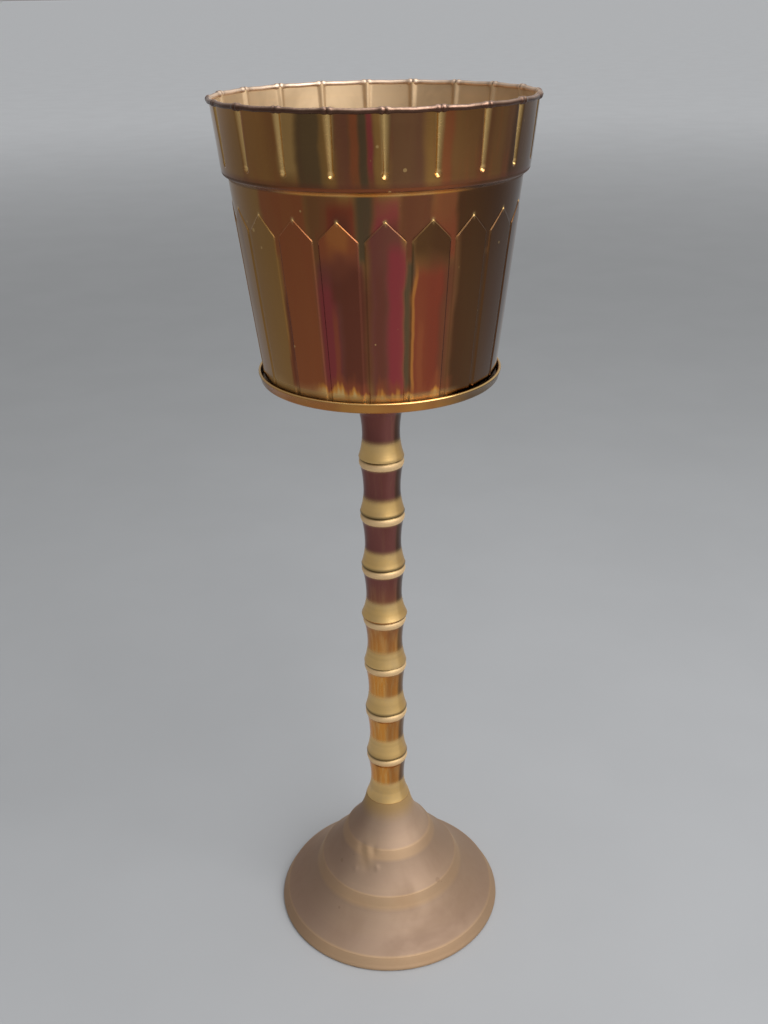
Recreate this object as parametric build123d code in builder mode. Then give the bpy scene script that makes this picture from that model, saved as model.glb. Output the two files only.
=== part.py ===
"""Champagne bucket on a bamboo-pattern floor stand, in millimetres, +Z up.

The origin is on the floor at the centre of the base, and everything is turned about Z.
From the floor up: a weighted stepped base, a stem of two pressed tubes held by a
two-piece tie rod, a shallow tray on a spun support, and a loose bucket that stands in
the tray and lifts straight out.
"""
import os
from math import cos, hypot, pi, sin

from build123d import *

os.makedirs("parts", exist_ok=True)

# ---------------------------------------------------------------------------
# Driving dimensions
# ---------------------------------------------------------------------------

# Base: a spun shell in three steps
base_radius = 105.0              # outside of the foot
base_sheet = 1.0
base_floor_gap = 0.6             # the metal edge stands this far off the floor
base_lip_width = 8.0             # turned-in edge that carries the bottom plate
base_edge_round = 1.6
rim_wall_height = 11.3
rim_wall_lean = 5.0              # how far the rim wall leans in over its height
lower_step_radius = 64.4
lower_step_top = 49.5
lower_step_wall = 10.5           # height of the step's wall
lower_step_lean = 5.1            # how far that wall leans out to its foot
upper_step_radius = 39.5
upper_step_top = 82.5
upper_step_wall = 8.0
upper_step_lean = 4.5
cove_sag = 1.6                   # how hollow each sloping band is
top_cove_sag = 3.4
neck_seat_height = 120.6         # shoulder that the stem stands on
neck_seat_margin = 0.4           # the shoulder's edge outside the stem
neck_spigot_clearance = 2.4      # the stub that centres the stem, inside its open end
neck_spigot_height = 5.0

# Base filling
plate_sheet = 1.2
plate_clearance = 0.5
weight_gap = 17.0                # side of the weight to the outside of the foot
weight_thickness = 12.0
weight_bore_radius = 20.0        # way in for the spanner
weight_edge = 1.5
felt_clearance = 0.6
plate_screw_count = 3
plate_screw_circle = 60.0
screw_radius = 2.0
screw_head_radius = 3.6
screw_head_height = 1.2
screw_reach = 9.0

# Stem: two pressed tubes of four bamboo joints each
joint_pitch = 49.2               # from groove to groove
top_joint_length = 47.4          # the last joint of a tube is cut shorter
joints_per_tube = 4
tube_sheet = 1.0
neck_radius = 15.4               # narrowest place of a joint
neck_rise = 20.3                 # its height above the groove below
flare_radius = 18.7              # widest place, just above a groove
bell_radius = 19.8               # open lower end of a tube
groove_radius = 17.0
groove_width = 1.3
ring_radius = 18.6               # bead under each groove
ring_foot_radius = 17.5
ring_height = 5.0

# Coupling disc between the tubes
coupling_thickness = 1.0
coupling_inset = 0.3             # the disc's edge inside the upper tube's
coupling_spigot_height = 7.0
coupling_clearance = 0.3

# Tie rod, nuts and washers
rod_radius = 4.0
rod_hole_clearance = 0.4
rod_end_stand = 1.6              # how far a rod end stands out of its nut
rod_chamfer = 0.6
nut_across_flats = 13.0
nut_height = 5.0
coupling_nut_length = 24.0
spring_washer_radius = 6.6
spring_washer_height = 2.2
spring_washer_slit = 1.2
washer_radius = 12.0
washer_height = 1.6
small_washer_radius = 10.0
thread_clearance = 0.05

# Tray and its support
support_radius = 42.0
support_height = 22.4
support_sheet = 1.2
support_spigot_depth = 6.0
support_spigot_clearance = 0.3
support_seat_inset = 0.3         # the shoulder's edge inside the stem's
support_cove_sag = 3.0
tray_radius = 93.5               # outside of the wall at its top
tray_wall_height = 8.4
tray_wall_lean = 2.0
tray_sheet = 1.0
tray_corner = 2.4
tray_hem_radius = 0.9

# Bucket
bucket_clearance = 1.4           # between the bucket's foot and the tray's wall
bucket_sheet = 1.0
bucket_corner = 2.6
kick_bend = 2.0
step_bend = 2.2
foot_ring_width = 7.0            # flat ring that the bucket stands on
floor_rise = 13.0                # raised middle of the bucket's floor
lower_wall_height = 153.0        # foot to the underside of the collar
lower_wall_spread = 17.6         # growth in radius over that height
collar_step = 3.6
collar_round = 2.6
collar_height = 52.0             # underside of the collar to the middle of the rim
collar_spread = 5.1
bead_radius = 2.0
bead_overhang = 1.2              # the bead's middle outside the collar's
bead_wire_radius = 1.2
wire_clearance = 0.05
pattern_count = 20               # flutes, knots and pickets
knot_radius = 2.4
flute_top_radius = 4.2
flute_end_radius = 2.2
flute_depth = 2.0
flute_stop = 13.0                # collar left plain under each flute
dimple_radius = 2.8              # round end of a flute
picket_raise = 0.8
picket_gap = 3.0
picket_point_drop = 17.0         # from the collar to the picket's point
picket_point_height = 14.0
picket_foot_rise = 6.0

# ---------------------------------------------------------------------------
# Heights and radii that follow from them
# ---------------------------------------------------------------------------

FRONT = Plane.XZ                                      # half-outlines: x is radius, y is height
plate_seat = base_floor_gap + base_sheet
plate_top = plate_seat + plate_sheet
weight_radius = base_radius - weight_gap
lower_step_foot_radius = lower_step_radius + lower_step_lean
lower_step_foot = lower_step_top - lower_step_wall
upper_step_foot_radius = upper_step_radius + upper_step_lean
upper_step_foot = upper_step_top - upper_step_wall
neck_seat_radius = bell_radius + neck_seat_margin
neck_spigot_radius = bell_radius - tube_sheet - neck_spigot_clearance
coupling_radius = bell_radius - coupling_inset
support_seat_radius = ring_foot_radius - support_seat_inset
neck_top = neck_seat_height + neck_spigot_height
tube_length = (joints_per_tube - 1) * joint_pitch + top_joint_length
lower_tube_foot = neck_seat_height
lower_tube_top = lower_tube_foot + tube_length
upper_tube_foot = lower_tube_top + coupling_thickness
upper_tube_top = upper_tube_foot + tube_length
tray_seat = upper_tube_top + support_height
tray_floor = tray_seat + tray_sheet
rod_hole_radius = rod_radius + rod_hole_clearance
tube_bore_at_top = ring_foot_radius - tube_sheet

bucket_foot = tray_floor
foot_radius = tray_radius - tray_wall_lean - tray_sheet - bucket_clearance
collar_foot = bucket_foot + lower_wall_height
lower_wall_top_radius = foot_radius + lower_wall_spread
collar_foot_radius = lower_wall_top_radius + collar_step
rim_height = collar_foot + collar_height
collar_top_circle = collar_foot_radius + collar_spread   # middle of the sheet at the rim
bead_circle = collar_top_circle + bead_overhang
bucket_floor = bucket_foot + floor_rise


def at_height(height):
    """Half-outline plane whose zero height is the given one."""
    return Plane(origin=(0, 0, height), x_dir=(1, 0, 0), z_dir=(0, -1, 0))


def hollow_middle(start, end, sag):
    """Middle of an arc from start down to end that sinks towards the axis by sag."""
    run = end[0] - start[0]
    drop = start[1] - end[1]
    length = hypot(run, drop)
    return ((start[0] + end[0]) / 2 - sag * drop / length, (start[1] + end[1]) / 2 - sag * run / length)


def write(name, part):
    """Label a finished piece and write it as one STEP file."""
    part.label = name
    export_step(part, f"parts/{name}.step")


# ---------------------------------------------------------------------------
# Base shell
# ---------------------------------------------------------------------------

spigot_corner = (neck_spigot_radius, neck_top)
seat_edge = (neck_seat_radius, neck_seat_height)
upper_edge = (upper_step_radius, upper_step_top)
upper_foot = (upper_step_foot_radius, upper_step_foot)
lower_edge = (lower_step_radius, lower_step_top)
lower_foot = (lower_step_foot_radius, lower_step_foot)
rim_edge = (base_radius - rim_wall_lean, rim_wall_height)
rim_foot = (base_radius, base_floor_gap + base_edge_round)
lip_start = (base_radius - base_edge_round, base_floor_gap)
lip_inner = (base_radius - base_lip_width, base_floor_gap)
round_middle = (
    base_radius - base_edge_round * (1 - cos(pi / 4)),
    base_floor_gap + base_edge_round * (1 - sin(pi / 4)),
)

with BuildPart() as base_shell:
    with BuildSketch(FRONT):
        with BuildLine():
            Polyline((rod_hole_radius, neck_top), spigot_corner)
            Line(spigot_corner, (neck_spigot_radius, neck_seat_height))
            Line((neck_spigot_radius, neck_seat_height), seat_edge)
            ThreePointArc(seat_edge, hollow_middle(seat_edge, upper_edge, top_cove_sag), upper_edge)
            Line(upper_edge, upper_foot)
            ThreePointArc(upper_foot, hollow_middle(upper_foot, lower_edge, cove_sag), lower_edge)
            Line(lower_edge, lower_foot)
            ThreePointArc(lower_foot, hollow_middle(lower_foot, rim_edge, cove_sag), rim_edge)
            Line(rim_edge, rim_foot)
            ThreePointArc(rim_foot, round_middle, lip_start)
            Line(lip_start, lip_inner)
            offset(amount=base_sheet, side=Side.RIGHT)
        make_face()
    revolve(axis=Axis.Z)
write("base_shell", base_shell.part)

# ---------------------------------------------------------------------------
# Inside and under the base
# ---------------------------------------------------------------------------

plate_radius = base_radius - base_edge_round - base_sheet - plate_clearance
felt_radius = base_radius - base_lip_width - felt_clearance
screw_spots = PolarLocations(plate_screw_circle, plate_screw_count)

with BuildPart() as base_plate:
    with BuildSketch(Plane.XY.offset(plate_seat)):
        Circle(plate_radius)
        Circle(weight_bore_radius, mode=Mode.SUBTRACT)
        with screw_spots:
            Circle(screw_radius + thread_clearance, mode=Mode.SUBTRACT)
    extrude(amount=plate_sheet)
write("base_plate", base_plate.part)

with BuildPart() as base_felt:
    with BuildSketch(Plane.XY):
        Circle(felt_radius)
    extrude(amount=plate_seat)
    with BuildSketch(Plane.XY.offset(plate_seat)):
        with screw_spots:
            Circle(screw_head_radius + thread_clearance)
    extrude(amount=-screw_head_height, mode=Mode.SUBTRACT)
write("base_felt", base_felt.part)

with BuildPart() as base_weight:
    with BuildSketch(Plane.XY.offset(plate_top)):
        Circle(weight_radius)
        Circle(weight_bore_radius, mode=Mode.SUBTRACT)
    extrude(amount=weight_thickness)
    chamfer(base_weight.edges().group_by(Axis.Z)[-1], weight_edge)
    with BuildSketch(Plane.XY.offset(plate_top)):
        with screw_spots:
            Circle(screw_radius + thread_clearance)
    extrude(amount=screw_reach, mode=Mode.SUBTRACT)
write("base_weight", base_weight.part)

with BuildPart() as plate_screws:
    with BuildSketch(Plane.XY.offset(plate_seat - screw_head_height)):
        with screw_spots:
            Circle(screw_head_radius)
    extrude(amount=screw_head_height)
    with BuildSketch(Plane.XY.offset(plate_seat)):
        with screw_spots:
            Circle(screw_radius)
    extrude(amount=plate_sheet + screw_reach - rod_chamfer)
write("plate_screws", plate_screws.part)

# ---------------------------------------------------------------------------
# Stem tubes
# ---------------------------------------------------------------------------


def joint_outline(foot, length, foot_radius_here, is_last):
    """One bamboo joint: flare, neck, swelling, bead, and the groove above it."""
    top = foot + length
    neck = (neck_radius, foot + neck_rise)
    bead_foot = (ring_foot_radius, top - groove_width - ring_height)
    bead_middle = (ring_radius, top - groove_width - ring_height / 2)
    bead_top = (ring_foot_radius, top - groove_width)
    TangentArc(neck, (foot_radius_here, foot), tangent=(0, -1))
    TangentArc(neck, bead_foot, tangent=(0, 1))
    ThreePointArc(bead_foot, bead_middle, bead_top)
    if is_last:
        Line(bead_top, (ring_foot_radius, top))
    else:
        Polyline(bead_top, (groove_radius, top - groove_width / 2), (groove_radius, top), (flare_radius, top))


for tube_name, tube_foot in (("stem_tube_lower", lower_tube_foot), ("stem_tube_upper", upper_tube_foot)):
    with BuildPart() as stem_tube:
        with BuildSketch(at_height(tube_foot)):
            with BuildLine():
                for joint in range(joints_per_tube):
                    last = joint == joints_per_tube - 1
                    joint_outline(
                        joint * joint_pitch,
                        top_joint_length if last else joint_pitch,
                        flare_radius if joint else bell_radius,
                        last,
                    )
                offset(amount=tube_sheet, side=Side.RIGHT)
            make_face()
        revolve(axis=Axis.Z)
        split(bisect_by=Plane.XY.offset(tube_foot), keep=Keep.TOP)
    write(tube_name, stem_tube.part)

# ---------------------------------------------------------------------------
# Coupling disc, tie rod, nuts and washers
# ---------------------------------------------------------------------------

lower_spigot_radius = tube_bore_at_top - coupling_clearance
upper_spigot_radius = neck_radius - tube_sheet - coupling_clearance

with BuildPart() as stem_coupling:
    with BuildSketch(Plane.XY.offset(lower_tube_top)):
        Circle(coupling_radius)
    extrude(amount=coupling_thickness)
    with BuildSketch(Plane.XY.offset(lower_tube_top)):
        Circle(lower_spigot_radius)
    extrude(amount=-coupling_spigot_height)
    with BuildSketch(Plane.XY.offset(upper_tube_foot)):
        Circle(upper_spigot_radius)
    extrude(amount=coupling_spigot_height)
    with BuildSketch(Plane.XY.offset(lower_tube_top - coupling_spigot_height)):
        Circle(rod_hole_radius)
    extrude(amount=2 * coupling_spigot_height + coupling_thickness, mode=Mode.SUBTRACT)
write("stem_coupling", stem_coupling.part)

# The two rods meet in a long nut under the coupling disc
long_nut_top = lower_tube_top - coupling_spigot_height - washer_height
long_nut_foot = long_nut_top - coupling_nut_length
rods_meet = long_nut_foot + coupling_nut_length / 2
base_washer_top = neck_top - base_sheet
base_spring_top = base_washer_top - washer_height
base_nut_top = base_spring_top - spring_washer_height
lower_rod_foot = base_nut_top - nut_height - rod_end_stand
tray_washer_foot = tray_floor
tray_spring_foot = tray_washer_foot + washer_height
tray_nut_foot = tray_spring_foot + spring_washer_height
upper_rod_top = tray_nut_foot + nut_height + rod_end_stand

for rod_name, rod_foot, rod_top in (
    ("tie_rod_lower", lower_rod_foot, rods_meet),
    ("tie_rod_upper", rods_meet, upper_rod_top),
):
    with BuildPart() as tie_rod:
        with BuildSketch(Plane.XY.offset(rod_foot)):
            Circle(rod_radius)
        extrude(amount=rod_top - rod_foot)
        chamfer(tie_rod.edges().filter_by(GeomType.CIRCLE), rod_chamfer)
    write(rod_name, tie_rod.part)

for nut_name, nut_foot, nut_length in (
    ("base_nut", base_nut_top - nut_height, nut_height),
    ("rod_coupling_nut", long_nut_foot, coupling_nut_length),
    ("tray_nut", tray_nut_foot, nut_height),
):
    with BuildPart() as nut:
        with BuildSketch(Plane.XY.offset(nut_foot)):
            RegularPolygon(nut_across_flats / 2, 6, major_radius=False)
            Circle(rod_radius + thread_clearance, mode=Mode.SUBTRACT)
        extrude(amount=nut_length)
    write(nut_name, nut.part)

for washer_name, washer_foot, washer_outside in (
    ("base_washer", base_spring_top, washer_radius),
    ("coupling_washer", long_nut_top, small_washer_radius),
    ("tray_washer", tray_washer_foot, washer_radius),
):
    with BuildPart() as washer:
        with BuildSketch(Plane.XY.offset(washer_foot)):
            Circle(washer_outside)
            Circle(rod_hole_radius, mode=Mode.SUBTRACT)
        extrude(amount=washer_height)
    write(washer_name, washer.part)

for spring_name, spring_foot in (("base_spring_washer", base_nut_top), ("tray_spring_washer", tray_spring_foot)):
    with BuildPart() as spring_washer:
        with BuildSketch(Plane.XY.offset(spring_foot)):
            Circle(spring_washer_radius)
            Circle(rod_hole_radius, mode=Mode.SUBTRACT)
            with Locations((spring_washer_radius, 0)):
                Rectangle(2 * spring_washer_radius, spring_washer_slit, mode=Mode.SUBTRACT)
        extrude(amount=spring_washer_height)
    write(spring_name, spring_washer.part)

# ---------------------------------------------------------------------------
# Tray and the spun support under it
# ---------------------------------------------------------------------------

support_spigot_radius = tube_bore_at_top - support_spigot_clearance
support_edge = (support_radius, tray_seat)
support_seat_edge = (support_seat_radius, upper_tube_top)

with BuildPart() as tray_support:
    with BuildSketch(FRONT):
        with BuildLine():
            Line((rod_hole_radius, tray_seat), support_edge)
            ThreePointArc(
                support_edge,
                hollow_middle(support_seat_edge, support_edge, -support_cove_sag),
                support_seat_edge,
            )
            Polyline(
                support_seat_edge,
                (support_spigot_radius, upper_tube_top),
                (support_spigot_radius, upper_tube_top - support_spigot_depth),
            )
            offset(amount=support_sheet, side=Side.RIGHT)
        make_face()
    revolve(axis=Axis.Z)
write("tray_support", tray_support.part)

tray_foot_radius = tray_radius - tray_wall_lean
tray_wall_top = tray_seat + tray_wall_height
hem_centre = (tray_radius - tray_hem_radius, tray_wall_top - tray_hem_radius)

with BuildPart() as tray:
    with BuildSketch(FRONT):
        with BuildLine():
            FilletPolyline(
                (rod_hole_radius, tray_seat),
                (tray_foot_radius, tray_seat),
                (tray_radius - tray_sheet / 2, tray_wall_top - tray_hem_radius),
                radius=tray_corner,
            )
            offset(amount=tray_sheet, side=Side.LEFT)
        make_face()
        with Locations(hem_centre):
            Circle(tray_hem_radius)
    revolve(axis=Axis.Z)
write("tray", tray.part)

# ---------------------------------------------------------------------------
# Bucket
# ---------------------------------------------------------------------------

kick_radius = foot_radius - bucket_corner - foot_ring_width
kick_run = floor_rise / 2
flute_top = rim_height - bead_radius
flute_end = collar_foot + flute_stop
picket_foot = bucket_foot + picket_foot_rise
picket_point = collar_foot - picket_point_drop
picket_shoulder = picket_point - picket_point_height
half_step = pi / pattern_count


def lower_wall_radius(height):
    """Outside radius of the wall under the collar."""
    return foot_radius + lower_wall_spread * (height - bucket_foot) / lower_wall_height


def collar_radius(height):
    """Outside radius of the collar."""
    return collar_foot_radius + collar_spread * (height - collar_foot) / collar_height


dimple_circle = collar_radius(flute_end) + dimple_radius - flute_depth


def bucket_outline(inset):
    """Filled half-outline of the bucket without its pattern, inset from the outer skin."""
    kick_shift = inset * (hypot(kick_run, floor_rise) - kick_run) / floor_rise
    step_shift = inset * (hypot(collar_step, collar_round) - collar_round) / collar_step
    floor = bucket_floor + inset
    foot = bucket_foot + inset
    rim = (collar_top_circle + bucket_sheet / 2 - inset, rim_height)
    bends = (
        (kick_bend, -1),
        (kick_bend, 1),
        (bucket_corner, 1),
        (step_bend, -1),
        (step_bend, 1),
    )
    FilletPolyline(
        (0, floor),
        (kick_radius - kick_run + kick_shift, floor),
        (kick_radius + kick_shift, foot),
        (foot_radius - inset, foot),
        (lower_wall_top_radius - inset, collar_foot + step_shift),
        (collar_foot_radius - inset, collar_foot + collar_round + step_shift),
        rim,
        radius=[bend + side * (bucket_sheet / 2 - inset) for bend, side in bends],
    )
    Polyline(rim, (0, rim_height), (0, floor))


def flute_blade(grow):
    """Tapered round bar that presses the length of one flute, made bigger by grow."""
    end_circle = collar_radius(flute_end) + flute_end_radius - flute_depth
    top_circle = collar_radius(flute_top) + flute_top_radius - flute_depth
    with BuildPart(mode=Mode.PRIVATE) as blade:
        with BuildSketch(Plane.XY.offset(flute_end)):
            with Locations((end_circle, 0)):
                Circle(flute_end_radius + grow)
        with BuildSketch(Plane.XY.offset(flute_top + grow)):
            with Locations((top_circle, 0)):
                Circle(flute_top_radius + grow)
        loft()
    return blade.part


def picket_tool(inset):
    """One picket-shaped block that reaches out through the wall."""
    foot_half = half_step * lower_wall_radius(picket_foot) - picket_gap / 2 - inset
    shoulder_half = half_step * lower_wall_radius(picket_shoulder) - picket_gap / 2 - inset
    side_on = Plane(origin=(kick_radius, 0, 0), x_dir=(0, 1, 0), z_dir=(1, 0, 0))
    with BuildPart(mode=Mode.PRIVATE) as tool:
        with BuildSketch(side_on):
            with BuildLine():
                Polyline(
                    (-foot_half, picket_foot + inset),
                    (foot_half, picket_foot + inset),
                    (shoulder_half, picket_shoulder - inset),
                    (0, picket_point - 2 * inset),
                    (-shoulder_half, picket_shoulder - inset),
                    close=True,
                )
            make_face()
        extrude(amount=collar_foot_radius - kick_radius)
    return tool.part


def picket_bank(block, inset):
    """Every picket, standing out from the lower wall drawn in by inset."""
    with BuildPart(mode=Mode.PRIVATE) as bank:
        with PolarLocations(0, pattern_count):
            add(block)
        with BuildSketch(FRONT):
            with BuildLine():
                Polyline(
                    (kick_radius - kick_run, picket_foot),
                    (lower_wall_radius(picket_foot) + picket_raise - inset, picket_foot),
                    (lower_wall_radius(picket_point) + picket_raise - inset, picket_point),
                    (kick_radius - kick_run, picket_point),
                    close=True,
                )
            make_face()
        revolve(axis=Axis.Z, mode=Mode.INTERSECT)
    return bank.part


flute = flute_blade(0)
flute_back = flute_blade(bucket_sheet)
pickets = picket_bank(picket_tool(0), 0)
picket_backs = picket_bank(picket_tool(bucket_sheet), bucket_sheet)

with BuildPart() as bucket_hollow:
    with BuildSketch(FRONT):
        with BuildLine():
            bucket_outline(bucket_sheet)
        make_face()
    revolve(axis=Axis.Z)
    add(picket_backs)
    with PolarLocations(0, pattern_count):
        add(flute_back, mode=Mode.SUBTRACT)
    with Locations((0, 0, flute_end)):
        with PolarLocations(dimple_circle, pattern_count):
            Sphere(dimple_radius + bucket_sheet, mode=Mode.SUBTRACT)

with BuildPart() as bucket_shell:
    with BuildSketch(FRONT):
        with BuildLine():
            bucket_outline(0)
        make_face()
    revolve(axis=Axis.Z)
    add(pickets)
    with PolarLocations(0, pattern_count):
        add(flute, mode=Mode.SUBTRACT)
    with Locations((0, 0, flute_end)):
        with PolarLocations(dimple_circle, pattern_count):
            Sphere(dimple_radius, mode=Mode.SUBTRACT)
    add(bucket_hollow.part, mode=Mode.SUBTRACT)
    with Locations((0, 0, rim_height)):
        Torus(bead_circle, bead_radius)
        with PolarLocations(bead_circle, pattern_count):
            Sphere(knot_radius)
        Torus(bead_circle, bead_wire_radius + wire_clearance, mode=Mode.SUBTRACT)
write("bucket_shell", bucket_shell.part)

with BuildPart() as rim_wire:
    with Locations((0, 0, rim_height)):
        Torus(bead_circle, bead_wire_radius)
write("rim_wire", rim_wire.part)
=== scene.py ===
"""Champagne bucket on a bamboo-pattern floor stand: pieces, finishes, floor, lamps and camera."""

from math import cos, hypot, pi, radians, sin, tan

import bpy
import numpy as np
from bpy.props import FloatProperty, FloatVectorProperty, IntProperty, PointerProperty
from mathutils import Matrix, Vector


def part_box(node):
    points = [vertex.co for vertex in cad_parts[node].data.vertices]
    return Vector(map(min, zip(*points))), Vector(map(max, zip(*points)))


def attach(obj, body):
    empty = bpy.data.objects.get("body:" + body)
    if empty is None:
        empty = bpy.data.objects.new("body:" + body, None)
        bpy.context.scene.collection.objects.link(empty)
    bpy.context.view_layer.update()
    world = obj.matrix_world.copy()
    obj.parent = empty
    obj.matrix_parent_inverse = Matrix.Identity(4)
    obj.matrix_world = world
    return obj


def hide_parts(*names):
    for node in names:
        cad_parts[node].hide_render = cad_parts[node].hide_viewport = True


bl_info = {
    "name": "Champagne Bucket Stand",
    "version": (1, 0, 0),
    "blender": (4, 5, 0),
    "location": "View3D > Sidebar > Bucket Stand",
    "description": "Builds a lacquered brass champagne bucket on a bamboo-pattern floor stand",
    "category": "Object",
}

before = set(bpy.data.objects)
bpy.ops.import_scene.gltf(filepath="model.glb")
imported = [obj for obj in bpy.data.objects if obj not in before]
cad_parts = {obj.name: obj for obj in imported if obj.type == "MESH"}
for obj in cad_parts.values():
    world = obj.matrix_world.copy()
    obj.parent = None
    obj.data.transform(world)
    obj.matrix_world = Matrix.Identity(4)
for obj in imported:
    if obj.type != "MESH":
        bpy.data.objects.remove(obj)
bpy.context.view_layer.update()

BUCKET_LOW, BUCKET_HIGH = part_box("bucket_shell")
WIRE_LOW, WIRE_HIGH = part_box("rim_wire")
TRAY_LOW, TRAY_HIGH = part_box("tray")
SUPPORT_LOW, SUPPORT_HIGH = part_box("tray_support")
UPPER_LOW, UPPER_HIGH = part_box("stem_tube_upper")
LOWER_LOW, LOWER_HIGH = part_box("stem_tube_lower")
COUPLING_LOW, COUPLING_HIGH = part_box("stem_coupling")
BASE_LOW, BASE_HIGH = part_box("base_shell")
NUT_LOW, NUT_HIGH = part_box("tray_nut")
SPRING_LOW, SPRING_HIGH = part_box("tray_spring_washer")
WASHER_LOW, WASHER_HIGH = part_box("tray_washer")
ROD_LOW, ROD_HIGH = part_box("tie_rod_upper")

MM = 0.001
FULL_TURN = 2 * pi
AXIS = 0.05 * MM  # radius of the points that close an outline at the axis
WASHER_HOLE = 4.4 * MM


# ---- Sizes and colours that a user would change ----


def length(label, about, value):
    """A length in metres, given in millimetres."""
    return FloatProperty(name=label, description=about, default=value * MM, unit="LENGTH", precision=4)


def amount(label, about, value, top=1.0):
    """A plain number from zero to top."""
    return FloatProperty(name=label, description=about, default=value, min=0.0, max=top)


def angle(label, about, degrees):
    """An angle, given in degrees."""
    return FloatProperty(name=label, description=about, default=radians(degrees), subtype="ANGLE")


def colour(label, about, value):
    """A scene-linear colour."""
    return FloatVectorProperty(
        name=label, description=about, default=value, subtype="COLOR", size=3, min=0.0, max=1.0
    )


class BucketSizes(bpy.types.PropertyGroup):
    """Sizes of the bucket that its box doesn't give."""

    sheet: length("Sheet", "Thickness of the bucket's sheet", 1.0)
    pattern: IntProperty(
        name="Pattern", description="Flutes and pickets round the bucket", default=20, min=3
    )
    foot_radius: length("Foot radius", "Outside radius where the wall meets the foot", 89.1)
    collar_rise: length("Collar rise", "Foot to the underside of the collar", 153.0)
    wall_spread: length("Wall spread", "Growth in radius up to the collar", 17.9)
    collar_step: length("Collar step", "How far the collar stands out", 4.1)
    collar_round: length("Collar round", "Height of the collar's slanted underside", 2.6)
    floor_rise: length("Floor rise", "Height of the kicked-up floor", 13.0)
    foot_ring: length("Foot ring", "Width of the ring that the bucket stands on", 7.0)
    collar_height: length("Collar height", "Underside of the collar to the middle of the rim", 52.0)
    collar_spread: length("Collar spread", "Growth in radius of the collar up to the rim", 5.1)
    bead: length("Bead radius", "Radius of the rolled rim", 1.8)
    knot: length("Knot radius", "Radius of the rim at a knot", 2.7)
    crowding: angle("Crowding", "How far the flutes at the sides are drawn towards the front", 1.4)
    flute_depth: length("Flute depth", "How deep a flute is pressed", 1.9)
    flute_top: length("Flute top", "Half-width of a flute at the rim", 4.3)
    flute_tail: length("Flute tail", "Half-width of a flute at its lower end", 2.3)
    flute_stop: length("Flute stop", "Plain collar left under a flute", 13.0)
    dimple: length("Dimple", "Radius of the round end of a flute", 2.7)
    picket_raise: length("Picket raise", "How far a picket stands out", 0.7)
    picket_gap: length("Picket gap", "Width of the groove between pickets at the shoulders", 3.0)
    picket_drop: length("Picket drop", "Collar to the point of a picket", 17.0)
    picket_point: length("Picket point", "Height of a picket's pointed top", 14.0)
    picket_foot: length("Picket foot", "Foot of the bucket to the foot of a picket", 6.0)
    picket_flat: amount("Picket flatness", "How flat the face of a picket is", 0.35)


class StandSizes(bpy.types.PropertyGroup):
    """Sizes of the stand that its boxes don't give."""

    sheet: length("Sheet", "Thickness of the spun and pressed sheet", 1.0)
    joint_pitch: length("Joint pitch", "Distance from groove to groove", 49.2)
    neck: length("Neck radius", "Narrowest radius of a bamboo joint", 15.4)
    neck_rise: length("Neck rise", "Height of the neck above its groove", 20.3)
    flare: length("Flare radius", "Widest radius of a bamboo joint", 18.7)
    ring: length("Ring radius", "Radius of the bead under a groove", 18.6)
    ring_foot: length("Ring foot", "Radius where a ring leaves the joint", 17.5)
    ring_height: length("Ring height", "Height of the bead under a groove", 6.2)
    groove: length("Groove radius", "Radius at the bottom of a groove", 17.0)
    groove_width: length("Groove width", "Width of a groove", 1.3)
    rim_wall: length("Rim wall", "Height of the base's rim wall", 11.3)
    rim_lean: length("Rim lean", "How far the rim wall leans in", 5.0)
    lower_step: length("Lower step", "Radius of the lower step", 64.4)
    lower_top: length("Lower step height", "Height of the lower step's edge", 49.5)
    lower_foot: length("Lower foot", "Radius at the foot of the lower step", 69.5)
    lower_base: length("Lower foot height", "Height of the lower step's foot", 39.0)
    upper_step: length("Upper step", "Radius of the upper step", 39.5)
    upper_top: length("Upper step height", "Height of the upper step's edge", 82.5)
    upper_foot: length("Upper foot", "Radius at the foot of the upper step", 44.0)
    upper_base: length("Upper foot height", "Height of the upper step's foot", 74.5)
    seat: length("Seat radius", "Radius of the shoulder that the stem stands on", 20.2)
    spigot: length("Spigot radius", "Radius of the stub inside the stem", 16.4)
    spigot_rise: length("Spigot height", "Height of the stub inside the stem", 5.0)
    hollow: length("Hollow", "How hollow the sloping bands are", 1.6)
    top_hollow: length("Top hollow", "How hollow the uppermost band is", 3.4)
    tray_swell: length("Tray swell", "How far the tray's hem is worn out past its box", 1.2)
    tray_lean: length("Tray lean", "How far the tray's wall leans in", 2.0)
    hem: length("Hem radius", "Radius of the tray's hemmed edge", 1.15)
    rod_hole: length("Rod hole", "Radius of the hole for the tie rod", 4.4)


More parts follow.
